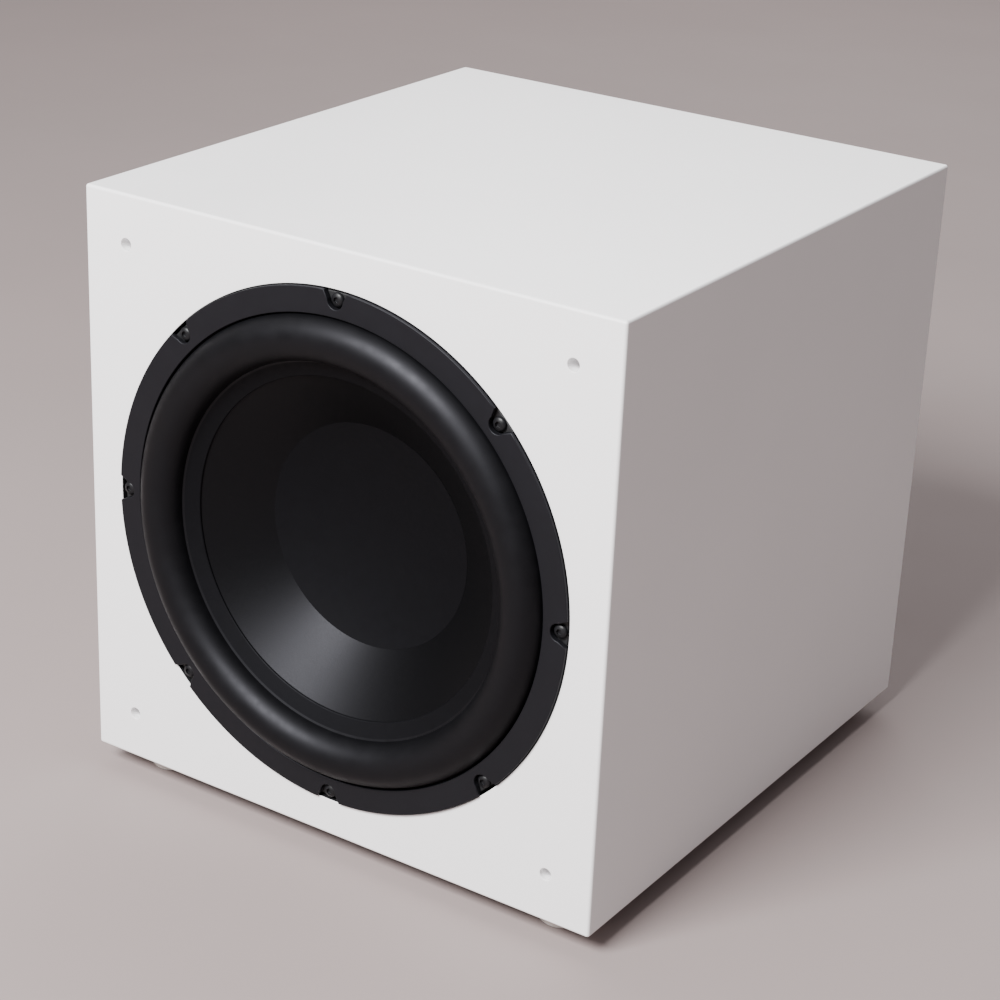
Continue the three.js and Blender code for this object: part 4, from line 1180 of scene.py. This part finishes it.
def slide_switches():
    """Levers with a grooved tip, in slots marked with a dot at each end."""
    for node, body in zip(LEVERS, ("phase_lever", "power_mode_lever")):
        low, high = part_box(node)
        x, z = flat(node)
        top = high.y
        stem = brick((x, z), 1.7 * MM, 1.4 * MM, low.y + 0.5 * MM, top)
        spacing, depth = 0.85 * MM, 0.5 * MM
        grooves = []
        for place in ((x - spacing, z), (x, z), (x + spacing, z)):
            grooves.append(brick(place, 0.2 * MM, 2 * MM, top - depth, top + 1 * MM, 0.05 * MM))
        slider = block(low, (high.x, low.y + 2 * MM, high.z), 0.2 * MM)
        lever = united(slider, carved(stem, *grooves))
        piece(f"{node}_lever", lever, PLASTIC, body=body, stands_for=[node])
        slot_x, slot_z = slot_middle(node)
        dots = []
        for side in (-1, 1):
            spot = circle(0.7 * MM, (slot_x + side * 7 * MM, slot_z), 20)
            dots.append(slab([spot], PLATE_Y, PLATE_Y + PRINT, bevel=0.02 * MM))
        piece(f"{node}_marks", joined(*dots), INK)
        case = brick((slot_x, slot_z), 11 * MM, 4 * MM, low.y - 7 * MM, low.y - 0.4 * MM, 0.4 * MM)
        piece(f"{node}_case", case, STEEL)


FUSE_RISE = -9.6 * MM  # from the middle of the inlet up to that of the fuse drawer


def mains_inlet():
    """A three-pin inlet: a socket with two cut corners over a slot for the fuse drawer."""
    x, z = flat("mains_inlet")
    low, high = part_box("mains_inlet")
    lip = high.y - 2.3 * MM
    back = high.y - 16 * MM
    past = high.y + CUT_PAST
    body = slab([rectangle(13.7 * MM, 16.5 * MM, 1 * MM, (x, z))], low.y, lip + 1 * MM)
    flange = slab([rectangle(high.x - x, high.z - z, 2.5 * MM, (x, z))], lip, high.y, 0.7 * MM, steps=3)
    outline = [(-12.2, -8.3), (12.2, -8.3), (12.2, 3.8), (7.7, 8.3), (-7.7, 8.3), (-12.2, 3.8)]
    socket = [(x + across, z + 6.3 * MM + up) for across, up in mm(outline)]
    well = slab([rounded(socket, 1.2 * MM)], back, past, bevel=0.05 * MM)
    drawer_slot = rectangle(12 * MM, 4.9 * MM, 0.4 * MM, (x, z + FUSE_RISE))
    drawer = slab([drawer_slot], high.y - 20 * MM, past, bevel=0.05 * MM)
    mesh = carved(united(body, flange), well, drawer)
    piece("inlet_body", mesh, PLASTIC, stands_for=["mains_inlet"])
    blades = []
    for across, up in mm([(0, 10.5), (-7, 6.5), (7, 6.5)]):
        place = (x + across, z + up)
        blades.append(brick(place, 1 * MM, 2 * MM, back, back + 11.5 * MM, 0.5 * MM, 3))
        blades.append(brick(place, 0.4 * MM, 2 * MM, low.y - 7 * MM, low.y + 0.5 * MM, 0.2 * MM))
    piece("inlet_blades", joined(*blades), NICKEL)


def fuse_drawer():
    """A tray with a finger notch, and the glass fuse that lies in it."""
    x, z = flat("mains_inlet")
    z += FUSE_RISE
    low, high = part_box("fuse_drawer")
    cover = high.y - 1.8 * MM
    tray = brick((x, z), 11.6 * MM, 4.5 * MM, low.y, cover + 0.5 * MM)
    front = block((x - 12.6 * MM, cover, low.z), (x + 12.6 * MM, high.y, high.z), 0.5 * MM, 3)
    well = brick((x, z + 2.8 * MM), 10.6 * MM, 5.2 * MM, low.y + 2 * MM, low.y + 9 * MM)
    rim = (x, high.z - 0.25 * MM)
    notch = brick(rim, 4 * MM, 1.25 * MM, high.y - 1 * MM, high.y + 1 * MM)
    mesh = carved(united(tray, front), well, notch)
    piece("drawer_tray", mesh, PLASTIC, body="fuse_tray", stands_for=["fuse_drawer"])
    across = rotation(90, "Z")
    place = (x, low.y + 5.5 * MM, z + 0.3 * MM)
    tube = turned(mm([(0, -6.5), (2.2, -6.5), (2.2, 6.5), (0, 6.5)]), 24, (0, 0), 0)
    piece("fuse_glass", moved(tube, place, across), WHITE, body="fuse_tray")
    cap = mm([(0, -2.2), (2.5, -2.2), (2.5, 2.2), (0, 2.2)])
    ends = [moved(solid(cap, 0.4 * MM, 24, (0, 0), side * 7.8 * MM), place, across) for side in (-1, 1)]
    piece("fuse_ends", joined(*ends), NICKEL, body="fuse_tray")


def rocker_switch():
    """A rocker in a lipped housing, with a line and a ring for on and off."""
    x, z = flat("rocker_housing")
    low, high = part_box("rocker_housing")
    lip = high.y - 2 * MM
    body = slab([rectangle(7 * MM, 10 * MM, 0.6 * MM, (x, z))], low.y, lip + 1 * MM)
    rim = slab([rectangle(high.x - x, high.z - z, 1.5 * MM, (x, z))], lip, high.y, 0.6 * MM, steps=3)
    mouth = rectangle(5.4 * MM, 9 * MM, 0.4 * MM, (x, z))
    opening = slab([mouth], PLATE_Y - 9 * MM, high.y + CUT_PAST, 0.05 * MM)
    pivot = Vector((x, PLATE_Y + 0.6 * MM, z))
    bore = moved(pin(1.3 * MM, 6.5 * MM), pivot)
    housing = carved(united(body, rim), opening, bore)
    piece("rocker_frame", housing, PLASTIC, stands_for=["rocker_housing"])
    edge, middle, back, half = 3.4 * MM, 2 * MM, -3 * MM, 7.6 * MM
    outline = [(back, -half), (edge, -half), (middle, 0), (edge, half), (back, half)]
    paddle = slab([rounded(outline, 0.5 * MM)], -5 * MM, 5 * MM, bevel=0.35 * MM, plane="yz")
    paddle = united(paddle, pin(1 * MM, 6.2 * MM))
    tilt = rotation(-10, "X")
    moved(paddle, pivot, tilt)
    piece("rocker_paddle", paddle, PLASTIC, body="rocker", stands_for=["mains_rocker"])
    slope = math.atan2(edge - middle, half)
    bar = brick((0, 0), 0.4 * MM, 1.5 * MM, 0, PRINT, 0.02 * MM)
    ring = slab([circle(1.6 * MM), circle(1 * MM)], 0, PRINT, bevel=0.02 * MM)
    for mark, side in ((bar, 1), (ring, -1)):
        lean = Matrix.Rotation(-side * slope, 3, "X")
        moved(mark, (0, (edge + middle) / 2 + 0.03 * MM, side * half / 2), lean)
        moved(mark, pivot, tilt)
    piece("rocker_marks", joined(bar, ring), INK, body="rocker")


def phono_jacks():
    """Plated shells with a hexagonal nut, and an insulator that shows which channel it is."""
    base = PLATE_Y + FIT
    for node, finish in zip(JACKS, (WHITE, RED_SLEEVE)):
        low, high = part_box(node)
        place = flat(node)
        top = high.y - base
        rear = low.y - base
        outline = [(3.5 * MM, top), (4.1 * MM, top - 0.3 * MM), (4.1 * MM, rear), (0, rear)]
        outline += [(0, 0), (3.5 * MM, 0)]
        shell = solid(outline, 0.15 * MM, 64, place, base)
        nut = slab([circle(6 * MM, place, 6), circle(4.05 * MM, place, 40)], base, base + 1.6 * MM, 0.3 * MM)
        piece(f"{node}_shell", joined(shell, nut), NICKEL, stands_for=[node])
        end = top / MM
        insert = mm([(1.75, 0.2), (3.4, 0.2), (3.4, end - 1.2), (3, end - 0.8), (1.75, end - 0.8)])
        ring = turned(insert, 48, place, base)
        piece(f"{node}_insulator", ring, finish)


def transformer():
    """A toroid with its tape wound round the core in overlapping turns."""
    place = flat("transformer")
    low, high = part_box("transformer")
    outer, inner, wraps = radius_of("transformer"), 14 * MM, 44
    profile = rounded([(inner, low.y), (outer, low.y), (outer, high.y), (inner, high.y)], 7 * MM, 7)
    middle = (inner + outer) / 2

    def wrapped(angle, radius, _along):
        ridge = 0.35 * MM * ((angle * wraps / (2 * math.pi)) % 1)
        return radius - ridge if radius > middle else radius + ridge

    mesh = turned(profile, wraps * 8, place, 0, wrapped)
    piece("toroid", mesh, TAPE, stands_for=["transformer"], sharp=30)
    dish = [(3.2, 0), (20, 0), (21, 1.6), (20, 2.4), (8, 3.4), (3.2, 3.4)]
    washer = turned(mm((r, -y) for r, y in rounded(dish, 0.5)), 96, place, low.y - 1.5 * MM)
    piece("transformer_washer", washer, STEEL)
    rim = outer / MM - 3
    pads = []
    for side, start in ((-1, low.y), (1, high.y)):
        section = [(5, side * 0.1), (rim, side * 0.1), (rim, side * 1.4), (5, side * 1.4)]
        pads.append(turned(mm(section), 96, place, start))
    piece("transformer_pads", joined(*pads), FOAM)
    bolt = screw_mesh(5 * MM, 3 * MM, 2.8 * MM, PLATE_BACK_Y - low.y + 3 * MM)
    x, z = place
    piece("transformer_bolt", moved(bolt, (x, low.y - 5 * MM, z)), STEEL)


def filter_capacitors():
    """Two sleeved cans with a crimped neck and a scored vent."""
    for node in ("filter_capacitor_1", "filter_capacitor_2"):
        low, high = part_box(node)
        place = flat(node)
        radius = radius_of(node)
        end = high.y - low.y
        can = [(0, 0.4 * MM), (radius - 1.5 * MM, 0.4 * MM), (radius - 1.2 * MM, 0), (radius, 1 * MM)]
        can += [(radius, end - 5 * MM), (radius - 1 * MM, end - 4 * MM), (radius, end - 3 * MM)]
        can += [(radius, end), (0, end)]
        mesh = solid(can, 0.5 * MM, 96, place, low.y)
        piece(f"{node}_can", mesh, BLUE_SLEEVE, stands_for=[node])
        disc = slab([circle(radius - 1.6 * MM, place, 64)], low.y + 0.1 * MM, low.y + 0.6 * MM, 0.1 * MM)
        reach, groove = radius * 0.6, 0.35 * MM
        scores = []
        for half in ((reach, groove), (groove, reach)):
            scores.append(brick(place, *half, low.y - MM, low.y + 0.3 * MM, 0.05 * MM))
        piece(f"{node}_vent", carved(disc, *scores), NICKEL)


def circuit_board():
    """The board on its four posts, with its parts on the side that faces into the cabinet."""
    low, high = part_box("circuit_board")
    back, face = low.y, low.y + 1.6 * MM
    inset = 6 * MM
    heights = (low.z + inset, high.z - inset)
    corners = [(x, z) for x in (inset - high.x, high.x - inset) for z in heights]
    outlines = [rectangle(high.x, (high.z - low.z) / 2, 2 * MM, flat("circuit_board"))]
    outlines += [circle(1.6 * MM, corner, 20) for corner in corners]
    mesh = slab(outlines, back, face, bevel=0.15 * MM)
    piece("main_board", mesh, MASK, stands_for=["circuit_board"])
    gap = 0.02 * MM
    posts = [slab([circle(3.3 * MM, at, 6)], face + gap, high.y, bevel=0.3 * MM) for at in corners]
    nuts = [slab([circle(3 * MM, at, 6)], back - 2 * MM, back - gap, bevel=0.3 * MM) for at in corners]
    piece("board_posts", joined(*posts, *nuts), NICKEL)
    board_parts(back)


CHIPS = [  # x, z, half width, half height and height above the board, in millimetres
    (-70, 84, 7, 10, 15),
    (-42, 92, 4, 9, 4),
    (-26, 92, 4, 9, 4),
    (52, 90, 3.5, 8, 4),
    (-68, 20, 10, 3, 16),
    (74, 14, 7, 13, 11),
    (52, 6, 8, 3.2, 16),
]
FILMS = [(-50, 58, 9, 3.5, 13), (-50, 46, 9, 3.5, 13), (40, 58, 6, 3, 10)]
SMALL_CANS = [(-6, 78), (6, 78), (18, 78), (64, 60), (64, 48), (-78, 52)]


def standing(x, z, half_x, half_z, height, back):
    """A box-shaped part on the board's inner side, in millimetres from the middle of the plate."""
    middle = (x * MM, AXIS_Z + z * MM)
    return brick(middle, half_x * MM, half_z * MM, back - height * MM, back - 0.05 * MM, 0.4 * MM)


def can_part(x, z, radius, height, back):
    """A round part on the board's inner side."""
    profile = mm([(0, -height), (radius, -height), (radius, -0.1), (0, -0.1)])
    return solid(profile, 0.6 * MM, 32, (x * MM, AXIS_Z + z * MM), back)


def board_parts(back):
    """Relays, chips, capacitors, a row of resistors and a choke."""
    chips = [standing(*place, back) for place in CHIPS]
    piece("board_chips", joined(*chips), PLASTIC)
    film = [standing(*place, back) for place in FILMS]
    piece("board_film_capacitors", joined(*film), RED_SLEEVE)
    small = [can_part(x, z, 4, 12, back) for x, z in SMALL_CANS]
    piece("board_small_capacitors", joined(*small), BLUE_SLEEVE)
    bodies = []
    wires = []
    upwards = Vector((0, 0, MM))
    for index in range(8):
        foot_at = Vector(((8 * index - 30) * MM, back - 2 * MM, AXIS_Z + 62 * MM))
        bodies.append(swept([foot_at + upwards * step for step in range(7)], 1.1 * MM, 14))
        wires.append(swept([foot_at + upwards * step for step in range(-3, 10, 2)], 0.3 * MM, 8))
    piece("board_resistors", joined(*bodies), BATTING)
    piece("board_resistor_wires", joined(*wires), NICKEL)
    choke = mm(rounded([(4.5, -14), (10, -14), (10, -5), (4.5, -5)], 2))
    ring = turned(choke, 168, (44 * MM, AXIS_Z + 34 * MM), back, wound)
    piece("board_choke", ring, COPPER, sharp=70)


def wound(angle, radius, _along):
    """Wire turns round a small toroid."""
    ridge = 0.35 * MM * abs(math.sin(angle * 14))
    return radius + ridge if radius > 7 * MM else radius - ridge


def build_amplifier():
    for build in (amp_plate, plate_screws, heat_sink, knobs, slide_switches, mains_inlet):
        build()
    for build in (fuse_drawer, rocker_switch, phono_jacks, transformer, filter_capacitors):
        build()
    circuit_board()


# ---------------------------------------------------------------- stage


def build_stage():
    """A wide round pale floor whose far edge sweeps up into a backdrop on every side."""
    reach, sweep, height = 5.0, 1.5, 3.2
    profile = [(0.0, 0.0), (0.6, 0.0), (1.5, 0.0), (reach, 0.0)]
    profile += [(reach + x, sweep + z) for x, z in around((0, 0), sweep, -90, 0, 16)][1:]
    profile += [(reach + sweep, height)]
    mesh = upright(turned(profile, 96, (0, 0), 0), Vector((0, 0, 0)))
    look = Look("pale backdrop", (0.243, 0.2, 0.193), 0.8)
    mesh.materials.append(look.tinted(0.25, 0.02).uneven(0.1, 0.03).material)
    mesh.polygons.foreach_set("use_smooth", [True] * len(mesh.polygons))
    placed("backdrop", mesh)


LIGHT_AIM = (0, -0.1, 0.2)


def area_light(name, direction, distance, size, energy):
    """A rectangular lamp at a distance from the object's middle, shining at it."""
    data = bpy.data.lights.new(name, "AREA")
    data.shape = "RECTANGLE"
    data.size, data.size_y = size
    data.energy = energy
    light = placed(name, data)
    towards = Vector(direction).normalized()
    light.location = Vector(LIGHT_AIM) + towards * distance
    light.rotation_euler = (-towards).to_track_quat("-Z", "Y").to_euler()


def build_lights():
    area_light("key", (-0.08, -0.73, 0.68), 2.6, (1.3, 0.9), 250)
    area_light("fill", (-0.25, 0.8, 0.55), 3.2, (2.2, 1.6), 48)
    world = bpy.data.worlds.new("studio")
    world.use_nodes = True
    background = world.node_tree.nodes["Background"]
    background.inputs["Color"].default_value = (1.0, 0.955, 0.985, 1)
    background.inputs["Strength"].default_value = 0.53
    bpy.context.scene.world = world


build_cabinet()
build_driver()
build_amplifier()
build_stage()
build_lights()
